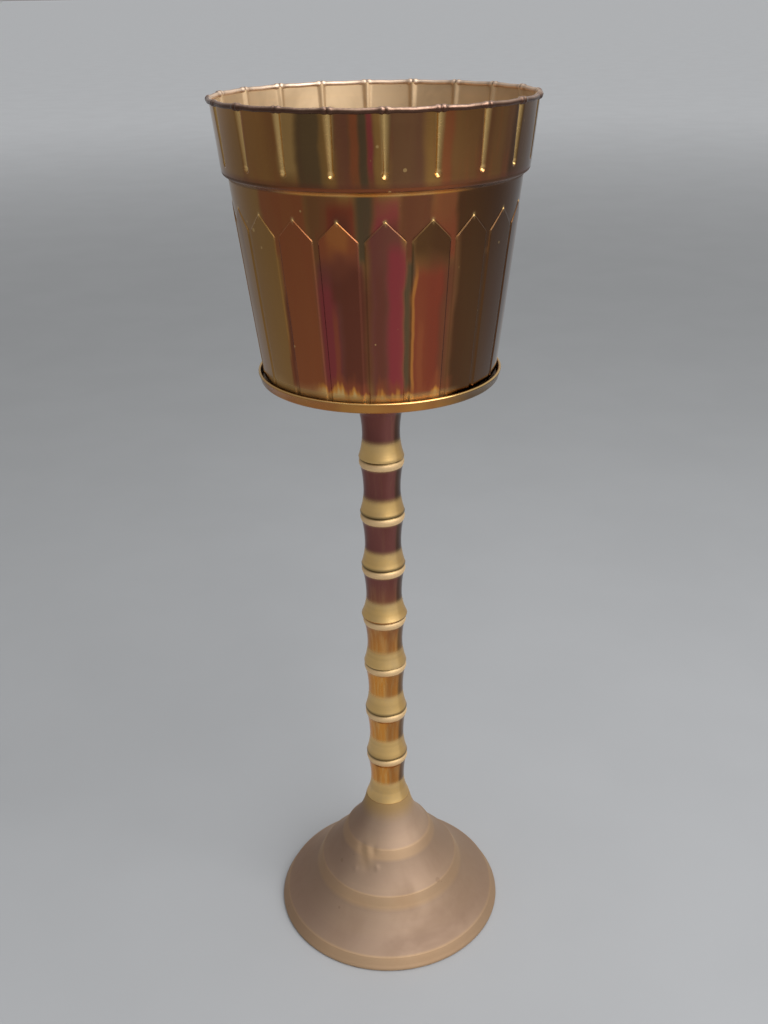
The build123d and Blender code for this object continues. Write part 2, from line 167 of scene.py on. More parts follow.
class FinishColours(bpy.types.PropertyGroup):
    """Colours of the finishes."""

    lacquer: colour("Brown lacquer", "Main tone of the bucket's mirror lacquer", (0.260, 0.110, 0.042))
    # Olive, rust, ember, rose, plum and smoke are laid on the bucket chiefly as painted reflections of the
    # room, in upright strokes.
    olive: colour("Olive", "Green-gold tone in the lacquer", (0.430, 0.220, 0.062))
    rust: colour("Rust", "Orange-brown heat tone in the lacquer", (0.400, 0.112, 0.042))
    ember: colour("Ember", "Red-orange heat tone in the lacquer", (0.310, 0.056, 0.030))
    rose: colour("Rose", "Magenta heat tone in the lacquer", (0.380, 0.058, 0.064))
    plum: colour("Plum", "Purple-brown heat tone in the lacquer", (0.230, 0.068, 0.052))
    smoke: colour("Smoke", "Green-black tone in the lacquer", (0.125, 0.088, 0.046))
    # Gold is also laid as painted highlight and painted reflection: on the flutes, dimples, picket slants
    # and points, under the collar step, at the bucket's foot, on the tray's hem and on the stem's flares.
    gold: colour("Gold", "Bright gold of rubbed brass", (0.900, 0.590, 0.230))
    satin: colour("Satin gold", "Inside of the bucket", (0.600, 0.450, 0.285))
    copper: colour("Copper", "Rolled rim", (0.590, 0.380, 0.288))
    tray: colour("Tray brass", "Toned brass of the tray", (0.600, 0.275, 0.070))
    wine: colour("Wine", "Dark red of the stem's upper necks", (0.235, 0.085, 0.072))
    amber: colour("Amber", "Orange of the stem's lower necks", (0.830, 0.345, 0.064))
    # The pale bead is partly a painted reflection of the light from above.
    bead: colour("Pale bead", "Rubbed beads under the grooves of the stem", (0.940, 0.680, 0.380))
    bronze: colour("Bronze", "Taupe bronze of the base", (0.472, 0.340, 0.252))
    # Umber is also laid as painted shade on the lower right of the base.
    umber: colour("Umber", "Dark bronze in the hollows of the base", (0.300, 0.195, 0.125))
    zinc: colour("Zinc", "Plated steel", (0.560, 0.570, 0.580))
    iron: colour("Iron", "Cast iron", (0.060, 0.060, 0.062))
    felt: colour("Felt", "Felt under the base", (0.020, 0.045, 0.025))


class StageSettings(bpy.types.PropertyGroup):
    """Floor, lamps and camera."""

    floor: colour("Floor", "Floor round the stand", (0.430, 0.440, 0.455))
    far_floor: colour("Far floor", "Floor away from the stand", (0.390, 0.400, 0.412))
    key: amount("Key lamp", "Power of the large lamp at the right", 46.0, 500.0)
    top: amount("Top lamp", "Power of the lamp overhead", 6.0, 500.0)
    room: amount("Room light", "Brightness of the soft surroundings", 0.62, 5.0)
    camera_reach: length("Camera reach", "Level distance from the stem to the camera", 826.8)
    camera_height: length("Camera height", "Height of the camera", 805.6)
    camera_side: angle("Camera side", "How far the camera stands to the left of the front flute", 3.0)
    camera_tilt: angle("Camera tilt", "How far the camera looks down", 25.39)
    camera_pan: angle("Camera pan", "How far the camera looks to the right of the stem", 0.087)
    camera_roll: angle("Camera roll", "How far the camera leans", -1.0645)
    camera_lens: amount("Lens", "Focal length in millimetres on a 36 mm frame", 38.55, 200.0)


# ---- Outlines: lists of (radius, height) ----


def corner(before, point, after, radius, steps):
    """Points of the round that replaces one corner of an outline."""
    p = np.array(point)
    u = np.array(before) - p
    v = np.array(after) - p
    u_length = hypot(*u)
    v_length = hypot(*v)
    u = u / u_length
    v = v / v_length
    half = 0.5 * np.arccos(np.clip(np.dot(u, v), -1.0, 1.0))
    reach = min(radius / tan(half), 0.49 * u_length, 0.49 * v_length)
    bisector = (u + v) / hypot(*(u + v))
    centre = p + bisector * reach / cos(half)
    start = p + u * reach - centre
    end = p + v * reach - centre
    sweep = pi - 2 * half
    turn = np.sign(start[0] * end[1] - start[1] * end[0])
    points = []
    for step in range(steps + 1):
        a = turn * sweep * step / steps
        x = centre[0] + start[0] * cos(a) - start[1] * sin(a)
        points.append((x, centre[1] + start[0] * sin(a) + start[1] * cos(a)))
    return points


def rounded(points, radii, steps):
    """An open outline whose inner corners are rounded; a radius of zero keeps the corner."""
    path = [points[0]]
    for i, radius in enumerate(radii, start=1):
        if radius:
            path += corner(points[i - 1], points[i], points[i + 1], radius, steps)
        else:
            path.append(points[i])
    path.append(points[-1])
    return path


def hollow_run(start, end, sag, steps):
    """Points from start to end along a shallow arc that sinks towards the axis."""
    run = end[0] - start[0]
    drop = start[1] - end[1]
    size = hypot(run, drop)
    points = []
    for step in range(steps + 1):
        f = step / steps
        depth = 4 * sag * f * (1 - f)
        points.append((start[0] + run * f - depth * drop / size, start[1] - drop * f - depth * run / size))
    return points


def swing(neck, end, steps=10):
    """Points from the neck of a joint to its end on an arc that leaves the neck straight."""
    widen = end[0] - neck[0]
    rise = end[1] - neck[1]
    radius = (rise * rise + widen * widen) / (2 * widen)
    points = []
    for step in range(steps + 1):
        z = rise * step / steps
        points.append((neck[0] + radius - (radius * radius - z * z) ** 0.5, neck[1] + z))
    return points


def backed(path, thickness):
    """Closed outline of a sheet: the path and its copy moved to its left."""
    p = np.array(path)
    along = np.gradient(p, axis=0)
    along /= np.hypot(along[:, 0], along[:, 1])[:, None]
    left = np.stack([-along[:, 1], along[:, 0]], axis=1)
    back = p + left * thickness
    back[:, 0] = np.maximum(back[:, 0], 0.0005)
    return list(map(tuple, p)) + list(map(tuple, back[::-1]))


def smooth(x):
    """Ease from 0 to 1 as x goes from 0 to 1."""
    x = np.clip(x, 0.0, 1.0)
    return x * x * (3 - 2 * x)


# ---- Meshes ----


def even_turn(columns):
    """Evenly spaced angles for one turn."""
    return np.arange(columns) * FULL_TURN / columns


def lathe(name, outline, angles, shift=None, zones=None, crease=35.0, crowding=0.0):
    """Turn a closed outline about Z. Angle 0 is the front, towards -Y.

    shift(turn, radius, height, row) may move each point in its half-plane; it returns the
    new radius and height, and a dictionary of named masks. zones numbers each row's material.
    crowding draws the sides of the pattern towards the front.
    """
    rows = len(outline)
    columns = len(angles)
    radius, height = (np.repeat(part[:, None], columns, axis=1) for part in np.array(outline).T)
    turn = np.repeat(np.asarray(angles)[None, :], rows, axis=0)
    row = np.repeat(np.arange(rows)[:, None], columns, axis=1)
    masks = {}
    if shift:
        radius, height, masks = shift(turn, radius, height, row)
    turn = turn - crowding * np.sin(turn)
    points = np.stack([radius * np.sin(turn), -radius * np.cos(turn), height], axis=2).reshape(-1, 3)
    i = np.arange(rows)[:, None] * columns
    j = np.arange(columns)[None, :]
    next_i = np.roll(i, -1, axis=0)
    next_j = np.roll(j, -1, axis=1)
    quads = np.stack([i + j, i + next_j, next_i + next_j, next_i + j], axis=2).reshape(-1, 4)
    numbers = None if zones is None else np.repeat(zones, columns)
    piece = mesh_piece(name, points, quads, numbers, crease)
    for label, values in masks.items():
        layer = piece.data.attributes.new(label, "FLOAT", "POINT")
        layer.data.foreach_set("value", np.broadcast_to(values, radius.shape).astype(np.float32).ravel())
    return piece


def mesh_piece(name, points, quads, numbers=None, crease=35.0):
    """A smooth-shaded object with creases where faces meet at more than the given angle."""
    mesh = bpy.data.meshes.new(name)
    mesh.from_pydata(points.tolist(), [], [tuple(q) for q in quads.tolist()])
    mesh.update()
    if numbers is not None:
        mesh.polygons.foreach_set("material_index", numbers.astype(np.int32))
    obj = bpy.data.objects.new(name, mesh)
    bpy.context.scene.collection.objects.link(obj)
    outward(mesh)
    mesh.shade_smooth()
    mesh.set_sharp_from_angle(angle=radians(crease))
    return obj


def outward(mesh):
    """Turn the faces of a closed mesh so that its volume is positive."""
    corners = np.empty(len(mesh.loops), dtype=np.int64)
    mesh.loops.foreach_get("vertex_index", corners)
    where = np.empty(len(mesh.vertices) * 3)
    mesh.vertices.foreach_get("co", where)
    a, b, c, d = where.reshape(-1, 3)[corners.reshape(-1, 4)].swapaxes(0, 1)
    if np.sum(a * np.cross(b, c)) + np.sum(a * np.cross(c, d)) < 0:
        mesh.flip_normals()


def finish_piece(piece, body, materials, nodes=()):
    """Give a piece its materials, its body, and the CAD nodes that it stands for."""
    for material in materials:
        piece.data.materials.append(material)
    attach(piece, body)
    if nodes:
        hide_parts(*nodes)


def dress_node(node, material):
    """Put a material on every slot of a CAD node that stays."""
    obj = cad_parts[node]
    if not obj.material_slots:
        obj.data.materials.append(material)
    for place in obj.material_slots:
        place.material = material


# ---- Shader values and shared effects ----


class Value:
    """An output of a shader node that adds, subtracts and multiplies like a number."""

    def __init__(self, socket):
        self.socket = socket
        self.tree = socket.id_data

    def math(self, operation, *others):
        """A Math node that starts with this value."""
        return math_node(self.tree, operation, self, *others)

    def __add__(self, other):
        return self.math("ADD", other)

    def __sub__(self, other):
        return self.math("SUBTRACT", other)

    def __rsub__(self, other):
        return math_node(self.tree, "SUBTRACT", other, self)

    def __mul__(self, other):
        return self.math("MULTIPLY", other)

    def __abs__(self):
        return self.math("ABSOLUTE")

    def ramp(self, low, high, to_low=0.0, to_high=1.0):
        """Ease from to_low to to_high while this value goes from low to high."""
        inputs = {0: self, 1: low, 2: high, 3: to_low, 4: to_high}
        return value_of(self.tree, "MapRange", inputs, interpolation_type="SMOOTHSTEP")


def plug(socket, value):
    """Link a value to an input, or set the input's number or colour."""
    if isinstance(value, Value):
        value.tree.links.new(value.socket, socket)
    elif socket.type == "RGBA":
        socket.default_value = (*value, 1.0)
    else:
        socket.default_value = value


def value_of(tree, kind, inputs=None, output=0, **settings):
    """Add a shader node, fill its inputs, and return one output."""
    node = tree.nodes.new("ShaderNode" + kind)
    for key, value in settings.items():
        setattr(node, key, value)
    for key, value in (inputs or {}).items():
        plug(node.inputs[key], value)
    return Value(node.outputs[output])


def math_node(tree, operation, *values):
    """The result of a Math node."""
    return value_of(tree, "Math", dict(enumerate(values)), operation=operation)


def mixed(tree, share, first, second, blend="MIX"):
    """The result of a colour Mix node."""
    inputs = {0: share, 6: first, 7: second}
    return value_of(tree, "Mix", inputs, 2, data_type="RGBA", blend_type=blend)


def outputs_of(node):
    """All outputs of a node by name."""
    return {socket.name: Value(socket) for socket in node.outputs if socket.name}


def place_in(tree):
    """The place on the object."""
    return value_of(tree, "TexCoord", output="Object")


def noise(vector, scale, detail=3.0, roughness=0.55, distortion=0.0):
    """The value of a Noise texture."""
    inputs = {"Vector": vector, "Scale": scale, "Detail": detail, "Roughness": roughness}
    inputs["Distortion"] = distortion
    return value_of(vector.tree, "TexNoise", inputs)


def axes_of(place):
    """The three co-ordinates of a place."""
    return [value_of(place.tree, "SeparateXYZ", {0: place}, axis) for axis in "XYZ"]


def handling_wear(given, place):
    """Smudges, fine scratches and tarnish specks of handled lacquer."""
    tilt = {"Vector": place, "Rotation": (0.5, 0.3, 0.9), "Scale": (1.0, 0.06, 1.0)}
    scratch = noise(value_of(place.tree, "Mapping", tilt), given["Scratch Scale"], 1.0, 0.4)
    cells = {"Vector": place, "Scale": given["Speck Scale"], "Randomness": 1.0}
    nearness = value_of(place.tree, "TexVoronoi", cells, "Distance")
    return {
        "Smudge": noise(place, given["Smudge Scale"], 4.0, 0.6, 0.4).ramp(0.38, 0.72),
        "Scratch": abs(scratch - 0.5).ramp(0.012, 0.0) * noise(place, 14.0, 2.0).ramp(0.45, 0.65),
        "Speck": nearness.math("LESS_THAN", noise(place, 40.0, 2.0).ramp(0.50, 0.75, 0.0, 0.16)),
    }


def turning_rings(given, place):
    """Fine rings that spinning and polishing leave round Z."""
    x, y, z = axes_of(place)
    reach = (x * x + y * y).math("SQRT") + noise(place, 3.0, 2.0) * 0.002
    line = value_of(place.tree, "CombineXYZ", {"X": reach, "Z": z})
    return {
        "Ring": noise(line, given["Fineness"], 2.0, 0.7),
        "Band": noise(line, given["Fineness"] * 0.12, 2.0, 0.5),
    }


def upright_toning(given, place):
    """Upright streaks of heat toning that run round a turned piece."""
    x, y, z = axes_of(place)
    tall = value_of(place.tree, "CombineXYZ", {"X": x, "Y": y, "Z": z * given["Stretch"]})
    return {
        "Broad": noise(tall, given["Scale"], 1.0, 0.4, given["Distortion"]),
        "Fine": noise(tall, given["Scale"] * 6.0, 2.0, 0.5),
        "Patch": noise(place, 17.0, 3.0, 0.55, 0.6),
        "Sway": noise(place, 38.0, 1.0, 0.4, 0.3),
    }


def bearing(given, place):
    """Bearing round Z in degrees, zero at the front and growing to the right."""
    x, y, z = axes_of(place)
    return {"Degrees": x.math("ARCTAN2", y * -1.0).math("DEGREES") + given["Turn"], "Height": z}


# The shared effects: what builds each one, and its inputs with their usual values.
EFFECTS = {
    "Handling Wear": (handling_wear, {"Smudge Scale": 22.0, "Scratch Scale": 160.0, "Speck Scale": 95.0}),
    "Turning Rings": (turning_rings, {"Fineness": 900.0}),
    "Upright Toning": (upright_toning, {"Scale": 30.0, "Stretch": 0.10, "Distortion": 0.5}),
    "Bearing": (bearing, {"Turn": 0.0}),
}
shared = {}  # effects and finishes that are already built


def effect_group(name):
    """The node group of an effect, built on first use."""
    if name not in shared:
        build, inputs = EFFECTS[name]
        tree = bpy.data.node_groups.new(name, "ShaderNodeTree")
        for label, value in inputs.items():
            socket = tree.interface.new_socket(name=label, in_out="INPUT", socket_type="NodeSocketFloat")
            socket.default_value = value
        results = build(outputs_of(tree.nodes.new("NodeGroupInput")), place_in(tree))
        for label in results:
            tree.interface.new_socket(name=label, in_out="OUTPUT", socket_type="NodeSocketFloat")
        end = tree.nodes.new("NodeGroupOutput")
        for label, value in results.items():
            plug(end.inputs[label], value)
        shared[name] = tree
    return shared[name]


class Surface:
    """A material with one Principled shader, and the colour laid on it so far."""

    def __init__(self, name, **constants):
        self.material = bpy.data.materials.new(name)
        self.material.use_nodes = True
        self.tree = self.material.node_tree
        self.shader = self.tree.nodes["Principled BSDF"]
        self.colour = None
        for key, value in constants.items():
            self.shader.inputs[key.replace("_", " ")].default_value = value

    def mask(self, label):
        """A named mask of the mesh."""
        return value_of(self.tree, "Attribute", output="Fac", attribute_name=label)

    def effect(self, name, **values):
        """The outputs of a shared effect in this material."""
        node = self.tree.nodes.new("ShaderNodeGroup")
        node.node_tree = effect_group(name)
        for key, value in values.items():
            plug(node.inputs[key.replace("_", " ")], value)
        return outputs_of(node)

    def mix(self, share, first, second):
        """Two colours mixed; a colour may be the name of one of the finishes."""
        tints = [shade(tint) if isinstance(tint, str) else tint for tint in (first, second)]
        return mixed(self.tree, share, *tints)

    def lay(self, tint, share):
        """Lay a tint over the colour so far."""
        self.colour = self.mix(share, self.colour, tint)

    def finish(self, roughness, height, strength, distance):
        """Feed colour, roughness and relief to the shader, and return the material."""
        relief = {"Height": height, "Strength": strength, "Distance": distance}
        plug(self.shader.inputs["Base Color"], self.colour)
        plug(self.shader.inputs["Roughness"], roughness)
        plug(self.shader.inputs["Normal"], value_of(self.tree, "Bump", relief))
        return self.material


# ---- Finishes ----


MIXED_TINTS = {"wood": ("plum", 0.88, 0.86, 0.62), "deep": ("lacquer", 0.42)}

# Strokes of painted reflection of the room on the bucket: bearing and half-width in degrees,
# tint, strength, and where a stroke ends, its lowest and highest height in millimetres above the foot.
PANEL_REFLECTIONS = (
    (-57, 13, "olive", 0.95),
    (-36, 8.5, "rust", 0.90),
    (-43.5, 1.2, "wood", 0.70, 0, 84),
    (-42, 20, "gold", 0.28, -20, 12),
    (-18, 9, "plum", 0.90),
    (-23.4, 3.8, "rose", 0.70, -4, 98),
    (-20.6, 1.0, "rust", 0.55, 0, 74),
    (-16, 5.5, "wood", 0.85, 80, 106),
    (-13.4, 4.2, "wood", 0.90, 12, 104),
    (-8, 3, "wood", 0.75, 20, 98),
    (0, 6, "plum", 0.90),
    (-2.4, 2.0, "wood", 0.45, 0, 100),
    (4.4, 3.4, "rose", 0.90, 2, 116),
    (-14, 6, "rose", 0.55, -20, 16),
    (9.0, 1.4, "smoke", 0.90, 0, 118),
    (17, 6.5, "ember", 0.85, -20, 108),
    (11.2, 0.6, "amber", 0.45, 0, 104),
    (14.5, 1.3, "rust", 0.60, 0, 60),
    (25, 2.5, "wood", 0.60, -20, 106),
    (50, 21, "deep", 0.92),
    (90, 8, "rust", 0.60),
    (126, 8, "ember", 0.70),
    (144, 8, "plum", 0.75, -20, 112),
    (147, 2, "rose", 0.80, -20, 116),
    (162, 8, "deep", 0.60, 90),
    (-162, 8, "rust", 0.75),
    (-144, 8, "olive", 0.70, -20, 104),
    (-126, 3, "rose", 0.60, -20, 112),
    (-108, 8, "ember", 0.55),
    (-90, 8, "deep", 0.50),
)
GABLE_REFLECTIONS = (
    (-18, 8, "rust", 0.95, 108),
    (-18, 4, "amber", 0.25, 114),
    (18, 8, "deep", 0.85, 110),
)
FIELD_REFLECTIONS = (
    (-66, 18, "olive", 0.95),
    (-40, 10, "rust", 0.80),
    (-23, 6, "wood", 0.40),
    (-16.5, 5.4, "ember", 0.85, 0, 148),
    (-16.5, 3.2, "wood", 0.85, 0, 138),
    (-8, 3, "smoke", 0.85),
    (0.5, 4.6, "rose", 0.85, 0, 148),
    (2, 3.0, "wood", 0.85, 0, 134),
    (11, 6, "wood", 0.80),
    (22.5, 5.5, "rust", 0.50),
    (22.5, 5.5, "ember", 0.45, 0, 136),
    (50, 22, "deep", 0.90),
    (108, 20, "olive", 0.60),
    (170, 14, "ember", 0.55, 100),
    (-135, 18, "plum", 0.60),
)
COLLAR_REFLECTIONS = (
    (-66, 12, "olive", 0.80),
    (-45, 9, "rust", 0.35),
    (-42, 12, "olive", 0.35),
    (-33, 4, "olive", 0.90, 164),
    (-33, 3.5, "gold", 0.28, 164),
    (-24.6, 5, "smoke", 0.72),
    (-19.8, 1.4, "olive", 0.60, 158),
    (-13.5, 2.6, "plum", 0.60),
    (-9.6, 1.2, "rust", 0.80, 164),
    (-7.0, 1.2, "smoke", 0.80, 150),
    (-4.8, 0.9, "rose", 0.75, 166),
    (-2.0, 1.6, "olive", 0.85, 162),
    (7, 6, "plum", 0.55),
    (7, 6, "smoke", 0.30),
    (14.5, 2.2, "olive", 0.40, 160),
    (20.5, 2.0, "rust", 0.75, 158),
    (28, 5, "olive", 0.25, 158),
    (64, 15, "deep", 0.80),
    (42, 3, "olive", 0.30, 150),
    (100, 12, "rust", 0.55),
    (150, 5, "smoke", 0.75),
    (176, 3, "rose", 0.60),
    (-150, 10, "rust", 0.60),
    (-118, 4, "smoke", 0.70),
)


def shade(name, *shifts):
    """A colour of the finishes, multiplied by one number or by one for each channel."""
    if name in MIXED_TINTS:
        return shade(*MIXED_TINTS[name])
    shifts = (shifts or (1.0,)) * (1 if len(shifts) == 3 else 3)
    tint = getattr(bpy.context.scene.finish_colours, name)
    return tuple(min(1.0, part * shift) for part, shift in zip(tint, shifts))


def lay_reflection_stroke(coat, spot, where, middle, half_width, tint, strength, low=-20, high=230):
    """Lay one stroke of painted reflection, upright with soft ends, in the part of the bucket that where
    covers.
    """
    degrees, height = spot
    edge = min(1.6, 0.6 * half_width)
    soft = 9
    share = abs(degrees - middle).ramp(half_width + edge, half_width - edge)
    share = share * height.ramp((low - soft) * MM, (low + soft) * MM)
    share = share * height.ramp((high + soft) * MM, (high - soft) * MM)
    coat.lay(tint, share * where * strength)


def lay_reflections(coat, toning, degrees, height):
    """Lay the painted reflections on the panels, their gables, the field over them and the collar."""
    on_collar = (height - bpy.context.scene.bucket_sizes.collar_rise).ramp(1 * MM, 2.5 * MM)
    on_wall = 1.0 - on_collar
    picket = coat.mask("picket")
    panel = picket.math("MAXIMUM", height.ramp(113 * MM, 105 * MM)) * on_wall
    spot = (degrees + (toning["Patch"] - 0.5) * 5.0, height + (toning["Sway"] - 0.5) * (26 * MM))
    for where, strokes in (
        (panel, PANEL_REFLECTIONS),
        (picket, GABLE_REFLECTIONS),
        (on_wall - panel, FIELD_REFLECTIONS),
        (on_collar, COLLAR_REFLECTIONS),
    ):
        for stroke in strokes:
            lay_reflection_stroke(coat, spot, where, *stroke)


def paint_step_shade_and_reflection(coat, toning, degrees, height):
    """Lay painted shade on the lip at the collar's foot and a painted gold reflection on the slant under it;
    return both masks.
    """
    over_step = height - bpy.context.scene.bucket_sizes.collar_rise
    front = abs(degrees + 5.0).ramp(42.0, 24.0)
    lip = abs(over_step - 3.4 * MM).ramp(1.8 * MM, 0.6 * MM)
    slope = abs(over_step - 0.4 * MM).ramp(2.1 * MM, 0.6 * MM)
    on_collar = over_step.ramp(1 * MM, 2.5 * MM)
    # Painted shade low on the collar and on its lip, warmer at the front.
    coat.lay("wood", over_step.ramp(9 * MM, 5 * MM, 0.0, 0.5) * on_collar)
    coat.lay("deep", lip * 0.75)
    coat.lay("rust", lip * front * 0.6)
    # Painted shade on the slant under the step, and at the front a painted reflection of the floor as a gold
    # line.
    coat.lay("deep", slope * 0.6)
    coat.lay(coat.mix(toning["Broad"].ramp(0.40, 0.75), "amber", "gold"), slope * front * 0.85)
    return lip, slope


def paint_foot_reflections(coat, toning, degrees, height):
    """Lay painted reflections of the tray, bright tongues rising from the foot and a brassy band under them,
    and painted shade at the foot; return the band's mask.
    """
    lit = abs(degrees).ramp(35.0, 25.0)
    rise = toning["Patch"] * (48 * MM) + toning["Fine"] * (26 * MM) - 22 * MM - height
    # Painted reflection of the tray: bright tongues rising from the foot at the front.
    coat.lay("rust", rise.ramp(-9 * MM, 4 * MM, 0.0, 0.75) * lit)
    coat.lay("amber", rise.ramp(1 * MM, 6 * MM, 0.0, 0.95) * lit)
    coat.lay("gold", rise.ramp(5 * MM, 10 * MM, 0.0, 0.85) * lit)
    # Painted shade on the round of the foot.
    coat.lay("deep", height.ramp(2.4 * MM, 1.2 * MM))
    # Painted reflection of the tray's hem: a brassy band low on the wall.
    reflected_hoop = height.ramp(14 * MM, 10 * MM) * abs(degrees + 20.0).ramp(58.0, 44.0)
    coat.lay(shade("gold", 0.60), reflected_hoop * 0.65)
    return reflected_hoop


def bucket_lacquer():
    """Mirror lacquer of the bucket's outside, with painted reflections of the room in upright strokes and
    painted highlights and shade on its relief.
    """
    coat = Surface("bucket lacquer", Metallic=1.0, Coat_Weight=0.12, Coat_Roughness=0.04)
    toning = coat.effect("Upright Toning", Scale=26.0, Stretch=0.08, Distortion=0.4)
    wear = coat.effect("Handling Wear")
    place = coat.effect("Bearing")
    degrees = place["Degrees"]
    height = place["Height"] - BUCKET_LOW[2]
    coat.colour = coat.mix(toning["Broad"].ramp(0.40, 0.60), "lacquer", "olive")
    coat.lay("rust", toning["Fine"].ramp(0.50, 0.68, 0.0, 0.35))
    # Painted reflections of the room, laid as upright strokes.
    lay_reflections(coat, toning, degrees, height)
    lip, slope = paint_step_shade_and_reflection(coat, toning, degrees, height)
    reflected_hoop = paint_foot_reflections(coat, toning, degrees, height)
    flute = coat.mask("flute")
    dimple = coat.mask("dimple")
    slant = coat.mask("slant")
    # Painted highlights in gold: in the flutes, on the dimples, along the picket slants and at the picket
    # points; painted shade darkens the slants on the right.
    coat.lay("gold", flute * 0.95)
    coat.lay("gold", dimple)
    coat.lay("gold", slant * 0.12)
    coat.lay("deep", slant * degrees.ramp(22.0, 36.0, 0.0, 0.7))
    coat.lay("gold", coat.mask("apex"))
    coat.lay("gold", wear["Speck"] * 0.5)
    rough = wear["Smudge"] * 0.10 + wear["Scratch"] * 0.10 + 0.07
    dull = ((slant, 0.42), (slope, 0.35), (lip, 0.30), (reflected_hoop, 0.40), (flute, 0.16), (dimple, 0.15))
    for mask, more in dull:
        rough = rough + mask * more
    return coat.finish(rough, toning["Patch"] - wear["Scratch"] * 0.25, 0.08, 0.002)


def bucket_inside():
    """Satin gold of the bucket's inside."""
    coat = Surface("bucket inside", Metallic=1.0)
    rings = coat.effect("Turning Rings", Fineness=700.0)
    wear = coat.effect("Handling Wear", Smudge_Scale=14.0, Speck_Scale=70.0)
    coat.colour = coat.mix(wear["Smudge"], shade("satin", 1.12), shade("satin", 0.85))
    coat.lay("gold", rings["Band"].ramp(0.35, 0.7, 0.0, 0.25))
    coat.lay("lacquer", wear["Speck"] * 0.6)
    return coat.finish(wear["Smudge"].ramp(0.0, 1.0, 0.60, 0.70), rings["Ring"], 0.10, 0.0004)


def rim_copper():
    """Coppery rolled rim, pale on its inside, with painted shade on its lower outer side and in its creases.
    """
    coat = Surface("rim copper", Metallic=1.0)
    wear = coat.effect("Handling Wear", Smudge_Scale=60.0)
    toning = coat.effect("Upright Toning", Scale=60.0, Stretch=1.0)
    dark = shade("copper", 0.15, 0.10, 0.08)
    lining = coat.mask("lining")
    coat.colour = coat.mix(toning["Fine"].ramp(0.40, 0.62), shade("copper", 0.75), "copper")
    coat.lay("satin", wear["Smudge"] * 0.35)
    coat.lay(shade("copper", 1.48, 1.81, 1.83), lining * 0.9)
    # Painted shade: the lower outer side of the bead, and the creases at the knots.
    coat.lay(dark, coat.mask("shade") * 0.92)
    coat.lay(dark, coat.mask("knot") * 0.75)
    rough = toning["Patch"].ramp(0.3, 0.7, 0.26, 0.42) + lining * 0.25
    return coat.finish(rough, toning["Fine"], 0.15, 0.0006)


def tray_brass():
    """Lacquered brass of the tray and its support, with turning rings, painted shade at its sides and by its
    hem, and a painted highlight on the hem.
    """
    coat = Surface("tray brass", Metallic=1.0)
    rings = coat.effect("Turning Rings", Fineness=800.0)
    wear = coat.effect("Handling Wear", Smudge_Scale=30.0)
    toning = coat.effect("Upright Toning", Scale=40.0, Stretch=0.3)
    spot = coat.effect("Bearing", Turn=20.0)
    edge = TRAY_HIGH[2]
    coat.colour = coat.mix(toning["Broad"].ramp(0.35, 0.65, 0.5, 1.0), "rust", "tray")
    coat.lay("olive", wear["Smudge"] * 0.35)
    # Painted shade: darker towards the sides, and in the inside corner by the hem.
    coat.lay("smoke", abs(spot["Degrees"]).ramp(34.0, 66.0, 0.0, 0.85))
    coat.lay("smoke", coat.mask("well") * 0.6)
    # Painted highlight along the top of the hem.
    coat.lay("gold", spot["Height"].ramp(edge - 1.3 * MM, edge - 0.3 * MM, 0.0, 0.8))
    return coat.finish(wear["Smudge"].ramp(0.0, 1.0, 0.22, 0.36), rings["Ring"], 0.08, 0.0004)


def stem_lacquer():
    """Lacquer of a bamboo tube: satin gold flares and pale beads, partly painted reflection of the light
    above; painted shade and dirt in the grooves; wine to amber necks.
    """
    coat = Surface("stem lacquer", Metallic=1.0)
    rings = coat.effect("Turning Rings", Fineness=900.0)
    wear = coat.effect("Handling Wear", Smudge_Scale=45.0)
    toning = coat.effect("Upright Toning", Scale=70.0, Stretch=0.05, Distortion=0.2)
    spot = coat.effect("Bearing")
    climb = spot["Height"].ramp(LOWER_LOW[2] + 135 * MM, UPPER_LOW[2] + 45 * MM)
    # Painted reflection: a dark upright band on the right of each tube, laid on necks and flares.
    dark_reflection_strip = abs(spot["Degrees"] - 64.0).ramp(30.0, 18.0, 0.0, 0.7)
    coat.colour = coat.mix(climb, "amber", "wine")
    coat.lay("gold", toning["Fine"].ramp(0.44, 0.66, 0.0, 0.32) * (1.1 - climb))
    coat.lay(shade("plum", 0.7), toning["Broad"].ramp(0.46, 0.66, 0.0, 0.45))
    coat.lay(shade("smoke", 0.45), dark_reflection_strip)
    neck_colour = coat.colour
    coat.colour = coat.mix(wear["Smudge"] * 0.3, "gold", "satin")
    coat.lay("olive", dark_reflection_strip * 0.4)
    coat.lay("olive", rings["Band"].ramp(0.45, 0.7, 0.0, 0.2))
    neck = (coat.mask("neck") + (toning["Fine"] - 0.5) * 0.12).ramp(0.0, 1.0)
    bead = coat.mask("bead")
    # The gold flares and the pale beads are partly painted reflection of the light from above.
    coat.lay(neck_colour, neck)
    coat.lay("bead", bead)
    # Painted shade and dirt in the grooves.
    coat.lay(shade("smoke", 0.4), coat.mask("groove"))
    rough = neck.ramp(0.0, 1.0, 0.38, 0.18) + bead * 0.22 + wear["Scratch"] * 0.12
    return coat.finish(rough, rings["Ring"], 0.08, 0.0004)


